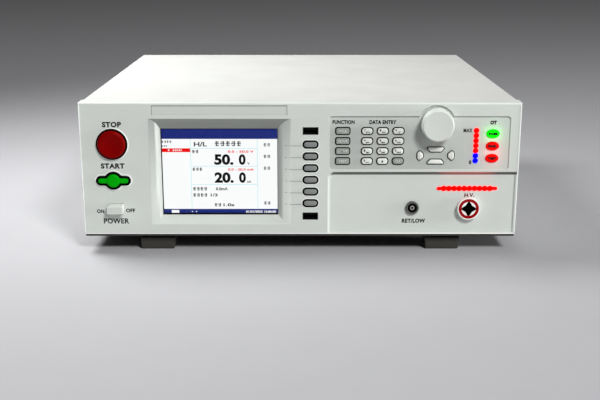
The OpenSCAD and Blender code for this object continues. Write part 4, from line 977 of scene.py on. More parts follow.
@dataclass
class Casework:
    """The bezel, cover, tray, rear panel, nameplate and feet, each with softened edges.

    Each row of edges gives a node, the width of its soft edges in millimetres
    and the angle in degrees past which an edge counts as sharp. On the bezel
    only the edges of its face are softened: the rim outside the reach, which
    gets the wide bevel, the sill, the edges of the keys' side and those round
    the nameplate. A room is its left, right, lower and upper limit.
    """

    edges: tuple[tuple[str, float, float], ...] = (
        ("front_bezel", 0.4, 40.0), ("top_cover", 0.3, 40.0), ("chassis_tray", 0.25, 40.0),
        ("rear_panel", 0.2, 60.0), ("nameplate", 0.15, 60.0), ("rubber_feet", 0.8, 60.0))
    plate: Box = (-78.2, 125.1, 131.4, 9.2)
    half: float = 214.6
    rim: float = 1.1
    reach: Point = (214.8, 132.4)
    sill: float = 0.1
    rooms: tuple[Box, ...] = ((24.0, 214.8, 0.0, 131.0), (-147.0, -9.0, 119.0, 132.0))
    # widths of the nameplate's painted shadow above, right and left
    shadow_widths: tuple[float, float, float] = (0.9, 0.6, 0.35)
    bead_middle: float = 66.0
    bead_height: float = 128.0

    def build(self) -> None:
        """Soften each node's edges, then add the nameplate's painted shadow line and the bezel's
        painted highlight beads.
        """
        for node, width, angle in self.edges:
            mount(self._soften(node, width, angle), CASE, SLOT_OF[node], node)
        self._nameplate_shadow()
        self._highlight_beads()

    def _nameplate_shadow(self) -> None:
        """Draw a dark painted shadow line above and beside the nameplate, widest above."""
        x, z, width, height = self.plate
        above, right, left = self.shadow_widths
        line = Bench.tiles("nameplate_painted_shadow", [
            (x, z + height / 2, width, above), (x + width / 2, z, right, height),
            (x - width / 2, z, left, height)], front=0.1, back=0.3)
        mount(line, CASE, "plate_paint", finish=INK_PAINTED_SHADOW)

    def _highlight_beads(self) -> None:
        """Model the pale beads along the bezel's lower and side edges, painted white as highlights
        where the edges catch the light.
        """
        # painted highlight strips along the bezel's lower, right and left edges
        sides = (((0, 0.75), 2 * self.half, 0.9),
                 ((self.half - 0.6, self.bead_middle), 1.2, self.bead_height),
                 ((0.4 - self.half, self.bead_middle), 0.8, self.bead_height))
        beads = [Bench.prism("bead", box_corners(*side), back=0.05, front=-0.35, corner=0.3,
                             steps=3, edge=0.2, edge_steps=2) for side in sides]
        mount(Bench.join("bezel_highlight_beads", beads), CASE, "panel_paint", finish=RIM_AND_HIGHLIGHT_WHITE)

    def _wanted(self, node: str, first: Vector, second: Vector, rim: bool) -> bool:
        """Say whether a sharp edge is softened.

        Args:
            node: the CAD node.
            first: one end of the edge.
            second: its other end.
            rim: whether the bezel's upper and side edges are asked for, or its others.

        Returns:
            True, except on the bezel, where only the outer and recess edges of its face count.
        """
        if node != "front_bezel":
            return not rim
        if max(first.y, second.y) / MM - FRONT > NEAR:
            return False
        middle = (first + second) / 2 / MM
        x, z = middle.x, middle.z - LOW
        if rim:
            return abs(x) > self.reach[0] or z > self.reach[1]
        return z < self.sill or any(left < x < right and low < z < high
                                    for left, right, low, high in self.rooms)

    def _soften(self, node: str, width: float, angle: float) -> Piece:
        """Copy a CAD node, join its triangles to whole faces and bevel its edges.

        Args:
            node: the CAD node.
            width: width of the bevel, in millimetres.
            angle: only edges sharper than this are bevelled, in degrees.

        Returns:
            The softened copy.
        """
        double_gap, sliver_gap, flat_angle, smooth_angle = 5e-6, 2e-6, 0.4, 32
        piece = bpy.data.objects.new(f"{node}_soft", frame["nodes"][node].data.copy())
        bpy.context.scene.collection.objects.link(piece)
        Bench.edit(piece)
        bpy.ops.mesh.remove_doubles(threshold=double_gap)
        bpy.ops.mesh.dissolve_limited(angle_limit=math.radians(flat_angle))
        bpy.ops.mesh.select_mode(type="EDGE")
        for rim, reach, steps in ((True, self.rim, 4), (False, width, 2)):
            bpy.ops.mesh.select_all(action="DESELECT")
            mesh = bmesh.from_edit_mesh(piece.data)
            for edge in mesh.edges:
                sharp = len(edge.link_faces) == 2 and edge.is_convex and (
                    edge.calc_face_angle() > math.radians(angle))
                if sharp and self._wanted(node, edge.verts[0].co, edge.verts[1].co, rim):
                    edge.select_set(True)
            bmesh.update_edit_mesh(piece.data)
            if any(edge.select for edge in mesh.edges):
                bpy.ops.mesh.bevel(offset=reach * MM, segments=steps, affect="EDGES",
                                   clamp_overlap=False)
        bpy.ops.mesh.select_all(action="SELECT")
        bpy.ops.mesh.remove_doubles(threshold=double_gap)
        if node == "front_bezel":
            bpy.ops.mesh.dissolve_degenerate(threshold=sliver_gap)
        bpy.ops.object.mode_set(mode="OBJECT")
        bpy.ops.object.shade_smooth_by_angle(angle=math.radians(smooth_angle))
        even = piece.modifiers.new("even", "WEIGHTED_NORMAL")
        even.keep_sharp = True
        bpy.ops.object.modifier_apply(modifier=even.name)
        return piece


@dataclass
class SoftKeys:
    """The six keys beside the display and their dark sleeves."""

    x: float = 10.3
    rows: tuple[float, ...] = (91.525, 79.665, 67.805, 55.945, 44.085, 32.225)
    shape: KeyShape = KeyShape(width=12.6, height=5.0, corner=2.45, front=-1.8, edge=1.0,
                               surface=0.0, skirt=1.7, lip=2.3)

    def build(self) -> None:
        """Lay the keys down their column."""
        places = {f"soft_key_{number}": (self.x, z) for number, z in enumerate(self.rows, 1)}
        self.shape.lay("soft_key", places, RIM_AND_HIGHLIGHT_WHITE)


@dataclass
class Keypad:
    """The function keys and the number pad, with the marks on each key.

    The titles are those of the function keys from the top down. The names and
    the small letters of the number keys go along the rows from the top left.
    """

    rows: tuple[float, ...] = (104.7, 94.7, 84.7, 74.7)
    function_x: float = 41.7
    number_x: tuple[float, ...] = (65.5, 80.7, 95.9)
    titles: tuple[str, ...] = ("FILE", "SETUP", "LIMIT", "TEST")
    names: tuple[str, ...] = ("key_7", "key_8", "key_9", "key_4", "key_5", "key_6",
                              "key_1", "key_2", "key_3", "key_0", "key_point", "key_clear")
    small: tuple[str, ...] = ("STU", "VWX", "YZ", "JKL", "MNO", "PQR",
                              "ABC", "DEF", "GHI", "+/-", "", "")
    front: float = -0.3

    def build(self) -> None:
        """Build both groups."""
        self._functions()
        self._numbers()

    def _functions(self) -> None:
        """Lay the function keys down their column and print a title on each."""
        letter_width, height, bold, spacing = 1.9, 2.4, 0.02, 1.1
        places = {f"function_key_{number}": (self.function_x, z)
                  for number, z in enumerate(self.rows, 1)}
        KeyShape(width=12.8, height=5.7, corner=1.4, front=self.front, edge=0.6,
                 surface=KEYPAD_DEPTH, skirt=1.15, lip=1.7).lay("function_key", places)
        for (node, (x, z)), title in zip(places.items(), self.titles):
            word = Word(f"{node}_print", title, x, z, letter_width * len(title), height,
                        self.front, bold, INK_PALE, spacing)
            mount(word.cut(), node, SLOT_OF[node], finish=INK_PALE)

    def _numbers(self) -> None:
        """Lay the number keys over the pad and print the marks on each."""
        places = dict(zip(self.names, [(x, z) for z in self.rows for x in self.number_x]))
        KeyShape(width=10.0, height=5.6, corner=2.4, front=self.front, edge=0.8,
                 surface=KEYPAD_DEPTH, skirt=1.1, lip=1.65).lay("number_key", places)
        for (node, (x, z)), letters in zip(places.items(), self.small):
            words = [word.cut() for word in self._marks(node, letters, x, z)]
            ink = INK_PALE if node == "key_clear" else INK_BLACK
            mount(Bench.join(f"{node}_print", words), node, SLOT_OF[node], finish=ink)

    def _marks(self, node: str, letters: str, x: float, z: float) -> list[Word]:
        """List what is printed on a number key.

        Args:
            node: the key's node.
            letters: the small letters under the digit.
            x: where the key's middle is, from left to right.
            z: how high its middle is.

        Returns:
            The digit or word, and the small letters if there are any.
        """
        name, front, ink = f"{node}_print", self.front, INK_BLACK
        mark = node.removeprefix("key_")
        if mark == "clear":
            return [Word(name, "CLR", x, z, 5.4, 2.3, front, 0.02, ink, 1.1)]
        if mark == "point":
            return [Word(name, ".", x, z - 0.2, 1.9, 1.9, front, 0.02, ink, 1.0)]
        return [Word(name, mark, x - 2.4, z + 0.9, 1.4, 2.3, front, 0.05, ink, 1.0),
                Word(name, letters, x + 0.6, z - 1.15, 1.3 * len(letters), 1.6, front, 0.045, ink,
                     1.0)]


@dataclass
class ArrowKeys:
    """The four arrow keys below the knob, with their sloping rims and dark sleeves.

    The wide outline is that of the upper key's hole and the tall one that of
    the right key's, each round the key's own place. The others mirror them.
    """

    centre: Point = (132.8, 80.2)
    rise: float = 6.95
    reach: float = 15.8
    wide: tuple[Point, ...] = ((-9.45, 0.0), (-7.8, 2.4), (7.8, 2.4), (9.45, 0.0), (5.6, -4.2),
                               (-5.6, -4.2))
    tall: tuple[Point, ...] = ((0.0, -6.15), (3.2, -3.2), (3.2, 3.2), (0.0, 6.15), (-4.7, 2.2),
                               (-4.7, -2.2))
    clearance: float = 1.2
    front: float = -0.3
    back: float = 4.5
    corner: float = 0.5
    slope: Point = (0.75, 0.6)
    skirt: Point = (0.95, 1.0)
    lip: Point = (1.35, 1.15)

    def build(self) -> None:
        """Model each key, its skirt and its lip."""
        x, z = self.centre
        holes = {
            "arrow_up": [(x + a, z + self.rise + b) for a, b in self.wide],
            "arrow_down": [(x + a, z - self.rise - b) for a, b in self.wide],
            "arrow_right": [(x + self.reach + a, z + b) for a, b in self.tall],
            "arrow_left": [(x - self.reach - a, z + b) for a, b in self.tall],
        }
        skirts, lips = [], []
        for node, hole in holes.items():
            corners = grown(hole, -self.clearance)
            piece = Bench.prism(f"{node}_cap", corners, self.back, self.front, self.corner, 4,
                                edge=0.1, edge_steps=2, slope=self.slope)
            mount(piece, node, SLOT_OF[node], node)
            skirt, lip = surround(corners, KEYPAD_DEPTH, self.skirt, self.lip)
            skirts.append(skirt)
            lips.append(lip)
        mount_surrounds("arrow_key", skirts, lips)


@dataclass
class Knob:
    """The round encoder knob with its soft front edge."""

    centre: Point = (132.8, 111.8)
    radius: float = 15.8
    taper: float = 0.3
    front: float = -13.0
    back: float = 1.0
    edge: float = 1.3

    def build(self) -> None:
        """Turn the knob: a dished face, a soft edge and a slightly conical skirt."""
        flat = self.radius - self.edge
        shoulder = self.radius - self.taper
        profile = [(0.0, self.front + 0.06), (flat - 1.0, self.front + 0.04),
                   (flat - 0.5, self.front), (shoulder - self.edge, self.front + 0.03),
                   (self.radius - 0.5, self.front + self.edge * 0.7),
                   (shoulder, self.front + self.edge), (self.radius, self.back - 0.6),
                   (self.radius - 0.5, self.back), (0.0, self.back)]
        piece = Bench.turned("encoder_knob_turned", self.centre, profile, 96, 30)
        mount(piece, "knob", "knob_grey", "encoder_knob")


@dataclass
class StopButton:
    """The large red button: a dished face with a soft edge, and the pale ring round it, a painted
    highlight along its edge.

    The dish gives radius and depth behind the front, the collar and the rim
    give distance outside the ring's radius and depth behind the panel.
    """

    centre: Point = (-183.7, 91.8)
    radius: float = 13.8
    front: float = -5.0
    back: float = 9.0
    dish: tuple[Point, ...] = ((0.0, 1.5), (3.0, 1.4), (6.0, 1.05), (8.5, 0.5), (10.4, 0.08))
    edge: float = 2.4
    edge_steps: int = 8
    ring: float = 15.4
    collar: tuple[Point, ...] = ((-1.5, -1.1), (-1.5, -2.3), (-1.1, -2.6), (-0.4, -2.4),
                                 (0.0, -1.7), (0.0, -1.1), (-1.5, -1.1))
    rim: tuple[Point, ...] = ((0.02, 0.02), (0.02, -0.7), (0.4, -0.8), (0.75, -0.5), (0.85, 0.02),
                              (0.02, 0.02))
    segments: int = 72

    def build(self) -> None:
        """Turn the button, its dark collar and its pale rim, which is a painted highlight."""
        profile = [(radius, self.front + depth) for radius, depth in self.dish]
        for step in range(self.edge_steps + 1):
            turn = math.radians(90 * step / self.edge_steps)
            profile.append((self.radius - self.edge * (1 - math.sin(turn)),
                            self.front + self.edge * (1 - math.cos(turn))))
        profile += [(self.radius, self.back), (0.0, self.back)]
        mount(Bench.turned("stop_button_turned", self.centre, profile, self.segments),
              "stop_button", "stop_red", "stop_button")
        # the rim is painted white as a highlight round the button
        for name, shape, finish in (("collar", self.collar, None), ("rim", self.rim, RIM_AND_HIGHLIGHT_WHITE)):
            profile = [(self.ring + out, depth) for out, depth in shape]
            piece = Bench.turned(f"stop_button_{name}", self.centre, profile, self.segments)
            mount(piece, CASE, "black_plastic", finish=finish)


@dataclass
class StartButton:
    """The green button with a round middle and two wings.

    The points of its crown give distance inside the crown's radius and depth
    behind its front.
    """

    centre: Point = (-183.7, 55.4)
    middle: float = 6.9
    wing_length: float = 30.1
    wing_height: float = 5.5
    wing_front: float = -3.0
    front: float = -3.6
    back: float = 9.0
    clearance: float = 0.35
    crown_gap: float = 0.5
    crown: tuple[Point, ...] = ((2.2, 0.0), (1.2, 0.08), (0.4, 0.4), (0.0, 0.8), (0.0, 3.0))
    collar: float = 2.1
    rim: float = 3.5
    count: int = 120

    def outline(self, extra: float) -> list[Point]:
        """Return the button's outline, grown by a width.

        Args:
            extra: how far outside the button the outline runs.

        Returns:
            Points round the outline, from the right wing upward.
        """
        half, tip = self.wing_length / 2 + extra, self.wing_height / 2 + extra
        points = []
        for step in range(self.count):
            turn = 2 * math.pi * step / self.count
            across, up = abs(math.cos(turn)), abs(math.sin(turn))
            reach = tip / up if up > 1e-6 else half
            if reach * across > half - tip:
                centre = half - tip
                reach = centre * across + math.sqrt(max(tip ** 2 - (centre * up) ** 2, 0))
            reach = max(reach, self.middle + extra)
            points.append((self.centre[0] + reach * math.cos(turn),
                           self.centre[1] + reach * math.sin(turn)))
        return points

    def build(self) -> None:
        """Model the winged cap, its raised middle, the dark collar and the pale rim."""
        cap = Bench.prism("start_button_cap", self.outline(-self.clearance), self.back,
                          self.wing_front, edge=0.7)
        radius = self.middle - self.crown_gap
        profile = [(radius - inside, self.front + depth) for inside, depth in self.crown]
        profile = [(0.0, self.front), *profile, (0.0, profile[-1][1])]
        crown = Bench.turned("crown", self.centre, profile, 56)
        mount(Bench.join("start_button_cap", [cap, crown]), "start_button", "start_green",
              "start_button")
        collar = Bench.ring("start_button_collar", self.outline(self.collar), self.collar - 0.05,
                            front=-1.7, back=-1.1)
        mount(collar, CASE, "black_plastic")
        line = Bench.ring("start_button_rim", self.outline(self.rim), width=1.3, front=-0.7,
                          back=0.02)
        mount(line, CASE, "black_plastic", finish=RIM_AND_HIGHLIGHT_WHITE)


@dataclass
class PowerButton:
    """The pale push button that stands well out of the panel."""

    centre: Point = (-182.2, 27.3)
    width: float = 16.0
    height: float = 8.4
    face: Point = (13.4, 6.0)
    corner: float = 1.4
    front: float = -9.0
    back: float = 4.5

    def build(self) -> None:
        """Model the button, the raised part of its face in a darker painted shade than the lit top,
        and a painted shadow at its lower left.
        """
        cap = Bench.prism("power_button_cap", box_corners(self.centre, self.width, self.height),
                          self.back, self.front, self.corner, edge=0.4)
        mount(cap, "power_button", "power_white", "power_button")
        # the face is painted a shade darker than the button's top
        width, height = self.face
        face = Bench.prism("power_button_face", box_corners(self.centre, width, height),
                           self.front + 0.3, self.front - 0.06, corner=0.5, steps=4, edge=0.04,
                           edge_steps=1)
        mount(face, "power_button", "power_white", finish=SHADED_BUTTON_FACE)
        x, z = self.centre
        left, right = x - self.width / 2, x + self.width / 2
        low, high = z - self.height / 2, z + self.height / 2
        # painted shadow: a dark strip along the button's left and lower sides
        gap = [(left - 0.75, high - 0.9), (left - 0.75, low + 0.5), (left - 0.2, low - 0.45),
               (left + 0.6, low - 0.8), (right - 1.0, low - 0.8), (right - 1.0, low - 0.15),
               (left + 1.2, low - 0.15), (left + 0.25, low + 0.25), (left - 0.15, low + 1.2),
               (left - 0.15, high - 0.9)]
        mount(Bench.prism("power_button_painted_shadow", gap, back=0.02, front=-0.1, edge=0.0), CASE,
              "panel_paint", finish=INK_PAINTED_SHADOW)


@dataclass
class SignalLamps:
    """The column of small lamps and the three oval ones."""

    column_x: float = 172.0
    red_rows: tuple[float, ...] = (105.1, 100.1, 95.1, 90.1, 85.1)
    blue_rows: tuple[float, ...] = (80.1, 75.1)
    radius: float = 2.3
    head: float = 2.75
    oval_x: float = 188.1
    oval_rows: tuple[float, ...] = (102.0, 89.75, 77.5)
    oval_size: Point = (13.0, 8.8)
    oval_count: int = 64
    oval_words: tuple[str, ...] = ("PASS", "FAIL", "TEST")
    word_size: Point = (8.6, 2.8)
    word_bold: float = 0.09
    word_spacing: float = 1.05
    front: float = 0.3
    shoulder: float = 1.18
    back: float = 9.0

    def build(self) -> None:
        """Build the column, then the oval lamps and their words."""
        self._column()
        self._ovals()
        self._words()

    def _column(self) -> None:
        """Turn one small lamp and copy it down the column."""
        r, wide, top = self.radius, self.head, self.front
        profile = [(0.0, top), (wide * 0.4, top + 0.05), (wide * 0.75, top + 0.25),
                   (wide * 0.95, top + 0.6), (wide, top + 1.0), (wide, top + self.shoulder),
                   (r, top + self.shoulder), (r, self.back), (0.0, self.back)]
        first = self.red_rows[0]
        lamp = Bench.turned("small_lamp", (self.column_x, first), profile, 28)
        for name, rows, slot in (("red_leds", self.red_rows, "red_lens"),
                                 ("blue_leds", self.blue_rows, "blue_lens")):
            lamps = [Bench.copy(lamp, f"{name}_lens", 0, z - first) for z in rows]
            mount(Bench.join(f"{name}_lenses", lamps), CASE, slot, name)
        bpy.data.objects.remove(lamp)

    def _oval(self) -> Piece:
        """Model the upper oval lamp: a domed face on a narrower stem.

        Returns:
            The lamp.
        """
        width, height = self.oval_size
        centre = (self.oval_x, self.oval_rows[0])
        overlap, stem_gap = 0.1, 1.0
        corners = []
        for step in range(self.oval_count):
            turn = 2 * math.pi * step / self.oval_count
            corners.append((centre[0] + math.cos(turn) * (width / 2 + overlap),
                            centre[1] + math.sin(turn) * (height / 2 + overlap)))
        oval = Bench.prism("oval_lamp", corners, self.front + 1.17, self.front, edge=0.9,
                           edge_steps=4)
        stem = Bench.prism("stem", box_corners(centre, width - 2 * stem_gap, height - 2 * stem_gap),
                           self.back, self.front + 0.6, corner=height / 2 - stem_gap - 0.05,
                           steps=8, edge=0.1, edge_steps=1)
        return Bench.join("oval_lamp", [oval, stem])

    def _ovals(self) -> None:
        """Copy the oval lamp down its column and lay a seat under each."""
        width, height = self.oval_size
        oval = self._oval()
        seats = [Bench.prism("seat", box_corners((self.oval_x, z), width + 0.3, height + 0.3),
                             back=1.6, front=1.46, corner=height / 2 + 0.1, steps=12, edge=0.03,
                             edge_steps=1) for z in self.oval_rows]
        mount(Bench.join("oval_lamp_seats", seats), CASE, "panel_paint")
        green, *reds = [Bench.copy(oval, "pass_lamp_lens", 0, z - self.oval_rows[0])
                        for z in self.oval_rows]
        bpy.data.objects.remove(oval)
        mount(green, CASE, "green_lens", "pass_lamp")
        mount(Bench.join("fail_lamp_lenses", reds), CASE, "red_lens", "fail_lamps",
              finish=OVAL_RED)

    def _words(self) -> None:
        """Print a word on each oval lamp."""
        for text, z in zip(self.oval_words, self.oval_rows):
            word = Word(f"lamp_word_{text.lower()}", text, self.oval_x, z, *self.word_size,
                        self.front, self.word_bold, INK_BLACK, self.word_spacing)
            mount(word.cut(), CASE, "black_plastic", finish=word.ink)


@dataclass
class WarningBar:
    """The red bar of ten round lenses above the high-voltage terminal."""

    centre: Point = (165.5, 46.4)
    length: float = 60.0
    height: float = 3.2
    lens: float = 2.75
    pitch: float = 5.08
    count: int = 10
    front: float = 2.3
    back: float = 7.2

    def build(self) -> None:
        """Model the bar and one lens, and copy the lens along it."""
        x, z = self.centre
        bar = Bench.prism("bar", box_corners(self.centre, self.length, self.height), self.back,
                          self.front + 0.4, corner=self.height / 2 - 0.02, edge=0.5)
        first = x - self.pitch * (self.count - 1) / 2
        r, top = self.lens, self.front
        lens = Bench.turned("lens", (first, z), [
            (0.0, top), (r * 0.5, top + 0.12), (r * 0.85, top + 0.45), (r, top + 0.9),
            (r, self.back), (0.0, self.back)], 28)
        pieces = [bar, lens]
        pieces += [Bench.copy(lens, "lens", self.pitch * step, 0) for step in range(1, self.count)]
        mount(Bench.join("hv_lamp_bar_lenses", pieces), CASE, "red_lens", "hv_lamp_bar")


@dataclass
class Terminals:
    """The star-shaped well of the high-voltage terminal, and the round return terminal.

    A profile's points are radius and depth behind the panel's face.
    """

    star: Point = (167.3, 26.8)
    arm: float = 7.05
    waist: float = 3.2
    half: float = 0.8
    band: tuple[Point, ...] = ((7.05, -0.8), (7.05, -1.9), (7.25, -2.1), (10.0, -2.1),
                               (10.25, -1.9), (10.25, -0.8), (7.05, -0.8))
    socket: Point = (111.7, 26.8)
    collar: tuple[Point, ...] = ((4.75, 1.2), (5.0, 0.7), (5.6, 0.5), (6.2, 0.65), (6.6, 1.2),
                                 (6.6, 4.2), (6.6, 30.0), (4.75, 30.0), (4.75, 1.2))
    insulator: tuple[Point, ...] = ((2.2, 2.0), (2.4, 1.7), (4.5, 1.5), (4.75, 1.6), (4.75, 29.8),
                                    (2.2, 29.8), (2.2, 2.0))
    contact: tuple[Point, ...] = ((1.2, 15.0), (1.2, 1.9), (1.4, 1.5), (2.0, 1.5), (2.2, 1.8),
                                  (2.2, 29.6), (1.2, 29.6), (1.2, 15.0))
    bore: tuple[Point, ...] = ((0.0, 14.0), (0.9, 14.0), (0.9, 1.75), (1.2, 1.75), (1.2, 29.6),
                               (0.0, 29.6))

    def build(self) -> None:
        """Build both terminals."""
        self._star()
        self._return()

    def _star(self) -> None:
        """Line the star-shaped well with black and turn the red band round it."""
        x, z = self.star
        quarter = [(self.arm, -self.half), (self.arm, self.half), (self.waist, self.waist)]
        corners = []
        for c, s in ((1, 0), (0, 1), (-1, 0), (0, -1)):
            corners += [(x + a * c - b * s, z + a * s + b * c) for a, b in quarter]
        well = Bench.cup("hv_socket_well", corners, wall=0.35, front=-1.75, floor=9.4, back=9.9)
        mount(well, CASE, "black_plastic")
        mount(Bench.turned("hv_socket_band", self.star, self.band, 72), CASE, "ring_red",
              "hv_socket_ring")

    def _return(self) -> None:
        """Turn the return terminal: its collar, its insulating ring, its bore and its contact."""
        for name, profile, steps, slot, finish, nodes in (
                ("collar", self.collar, 56, "terminal_black", None, ["return_socket"]),
                ("insulator", self.insulator, 48, "black_plastic", None, []),
                ("bore", self.bore, 32, "black_plastic", None, []),
                ("contact", self.contact, 36, "terminal_black", CONTACT, [])):
            piece = Bench.turned(f"return_socket_{name}", self.socket, profile, steps)
            mount(piece, CASE, slot, *nodes, finish=finish)


@dataclass
class Ports:
    """Black liners in the throats of the two data ports: painted shade for their deep openings."""

    x: float = 10.3
    rows: tuple[float, ...] = (104.9, 18.85)
    size: Point = (15.36, 7.36)
    wall: float = 0.55
    front: float = 0.1
    back: float = 3.15

    def build(self) -> None:
        """Line both openings, down to the metal shells."""
        # black liners: painted shade down the openings to the shells
        rings = [Bench.ring("throat", box_corners((self.x, z), *self.size), self.wall, self.front,
                            self.back, corner=0.4, steps=3) for z in self.rows]
        mount(Bench.join("usb_port_shade_liners", rings), CASE, "black_plastic")


@dataclass
class Display:
    """The lit screen behind the window, with its bars, lines and figures.

    The face is given by its left, right, lower and upper limit on the panel.
    All that is laid on it is given from the screen's left upper corner, to
    the right and down: left, top, width and height, or for a row of plain
    marks left, top, count and height. A figure has its text and colour too.
    """

    limits: Box = (-140.0, -19.0, 15.6, 108.2)
    left: float = -137.7
    top: float = 105.8
    face: float = 11.3
    step: float = 0.06
    header: Box = (-1.0, -1.0, 118.4, 12.0)
    footer: Box = (-1.0, 82.6, 118.4, 6.2)
    selection: Box = (-0.5, 20.5, 29.6, 3.8)
    rule: float = 0.45
    black_rows: tuple[Box, ...] = ((30.8, 22.1, 2, 3.2), (30.8, 40.0, 3, 3.2), (30.8, 60.0, 4, 3.4),
                                   (30.8, 66.4, 4, 3.4), (52.0, 76.6, 2, 3.4))
    grey_rows: tuple[Box, ...] = ((53.5, 13.2, 5, 5.0), (0.8, 12.6, 4, 2.4), (0.8, 17.2, 3, 1.8),
                                  (101.6, 15.2, 2, 3.3), (101.6, 26.9, 2, 3.3),
                                  (101.6, 38.9, 2, 3.3), (101.6, 74.8, 2, 3.3))
    white_rows: tuple[Box, ...] = ((7.0, 21.3, 1, 2.0), (11.6, 21.5, 5, 1.8))
    white_boxes: tuple[Box, ...] = ((8.7, 83.7, 7.6, 3.3), (29.0, 84.9, 1.0, 1.0),
                                    (33.2, 84.9, 1.0, 1.0))
    figures: tuple[tuple[str, float, float, float, float, Finish], ...] = (
        ("50.", 52.6, 26.3, 19.0, 11.0, SCREEN_BLACK), ("0", 76.9, 26.3, 6.9, 11.0, SCREEN_BLACK),
        ("20.", 52.6, 44.7, 19.0, 11.0, SCREEN_BLACK), ("0", 76.9, 44.7, 6.9, 11.0, SCREEN_BLACK),
        ("V", 85.4, 34.6, 2.4, 2.5, SCREEN_BLACK), ("mA", 84.9, 53.1, 4.0, 2.5, SCREEN_BLACK),
        ("H/L", 32.8, 14.0, 13.0, 4.6, SCREEN_GREY),
        ("0.0 - 50.0 V", 66.2, 22.5, 25.6, 2.4, SCREEN_RED),
        ("0.0 - 20.0 mA", 66.2, 40.7, 25.6, 2.4, SCREEN_RED),
        ("0.0mA", 53.7, 60.2, 11.8, 3.1, SCREEN_BLACK), ("1/3", 48.2, 66.6, 7.0, 3.1, SCREEN_BLACK),
        ("1.0s", 60.8, 76.8, 11.0, 3.1, SCREEN_BLACK),
        ("01/01/2020 12:00:00", 83.4, 84.2, 30.2, 2.6, SCREEN_WHITE))
    large: float = 9.0
    large_bold: float = 0.045
    bold: float = 0.03

    def build(self) -> None:
        """Lay the lit face, then everything that it shows."""
        left, right, low, high = self.limits
        corners = [(left, low), (right, low), (right, high), (left, high)]
        face = Bench.prism("screen_face", corners, self.face + 0.3, self.face, corner=0.6, steps=3,
                           edge=0.05, edge_steps=1)
        mount(face, CASE, "lcd_metal", finish=SCREEN_WHITE)
        self._bars()
        self._marks()
        self._figures()

    def _lay(self, name: str, boxes: list[Box], finish: Finish, layer: int = 1) -> None:
        """Lay one colour of marks on the screen.

        Args:
            name: the piece's name.
            boxes: left, top, width and height of each mark, from the screen's corner.
            finish: the colour.
            layer: how many marks lie under it, counting the face.
        """
        front = self.face - self.step * layer
        places = [(self.left + x + w / 2, self.top - y - h / 2, w, h) for x, y, w, h in boxes]
        mount(Bench.tiles(name, places, front, front + self.step), CASE, "lcd_metal",
              finish=finish)

    def _bars(self) -> None:
        """Lay the header, the footer, the red line and the pale blue rules."""
        self._lay("screen_header", [self.header, self.footer], SCREEN_BLUE)
        self._lay("screen_select", [self.selection], SCREEN_RED)
        upright = [(x, 11.0, self.rule, 71.6) for x in (29.1, 95.3)]
        level = [(29.5, y, 65.8, self.rule) for y in (20.3, 38.4, 57.0)]
        self._lay("screen_rules", upright + level, SCREEN_CYAN)

    @staticmethod
    def _glyphs(x: float, y: float, count: int, size: float) -> list[Box]:
        """Return the strokes of a row of plain marks that stand for words.

        Args:
            x: left edge of the row.
            y: top edge of the row.
            count: how many marks it has.
            size: height of a mark.

        Returns:
            Left, top, width and height of each stroke.
        """
        thin, pitch = size * 0.2, size * 1.08
        strokes = []
        for number in range(count):
            left = x + number * pitch
            for drop, start, length in ((0.08, 0.1, 0.7), (0.42, 0.0, 0.85), (0.8, 0.15, 0.6)):
                strokes.append((left + size * start, y + size * drop, size * length, thin))
            upright = 0.25 + 0.3 * (number % 2)
            strokes.append((left + size * upright, y, thin, size * 0.95))
        return strokes

    def _marks(self) -> None:
        """Lay the rows of plain marks where the screen has words."""
        for name, rows, boxes, finish, layer in (
                ("black", self.black_rows, (), SCREEN_BLACK, 1),
                ("grey", self.grey_rows, (), SCREEN_GREY, 1),
                ("white", self.white_rows, self.white_boxes, SCREEN_WHITE, 2)):
            strokes = list(boxes)
            for row in rows:
                strokes += self._glyphs(*row)
            self._lay(f"screen_marks_{name}", strokes, finish, layer)

    def _figures(self) -> None:
        """Set the figures, the large ones bolder than the others."""
        front = self.face - self.step - 0.03
        for number, (text, x, y, width, height, finish) in enumerate(self.figures):
            bold = self.large_bold if height > self.large else self.bold
            middle = (self.left + x + width / 2, self.top - y - height / 2)
            word = Bench.words(f"screen_figure_{number}", text, middle, (width, height), front,
                               bold, raised=0.04)
            mount(word, CASE, "lcd_metal", finish=finish)


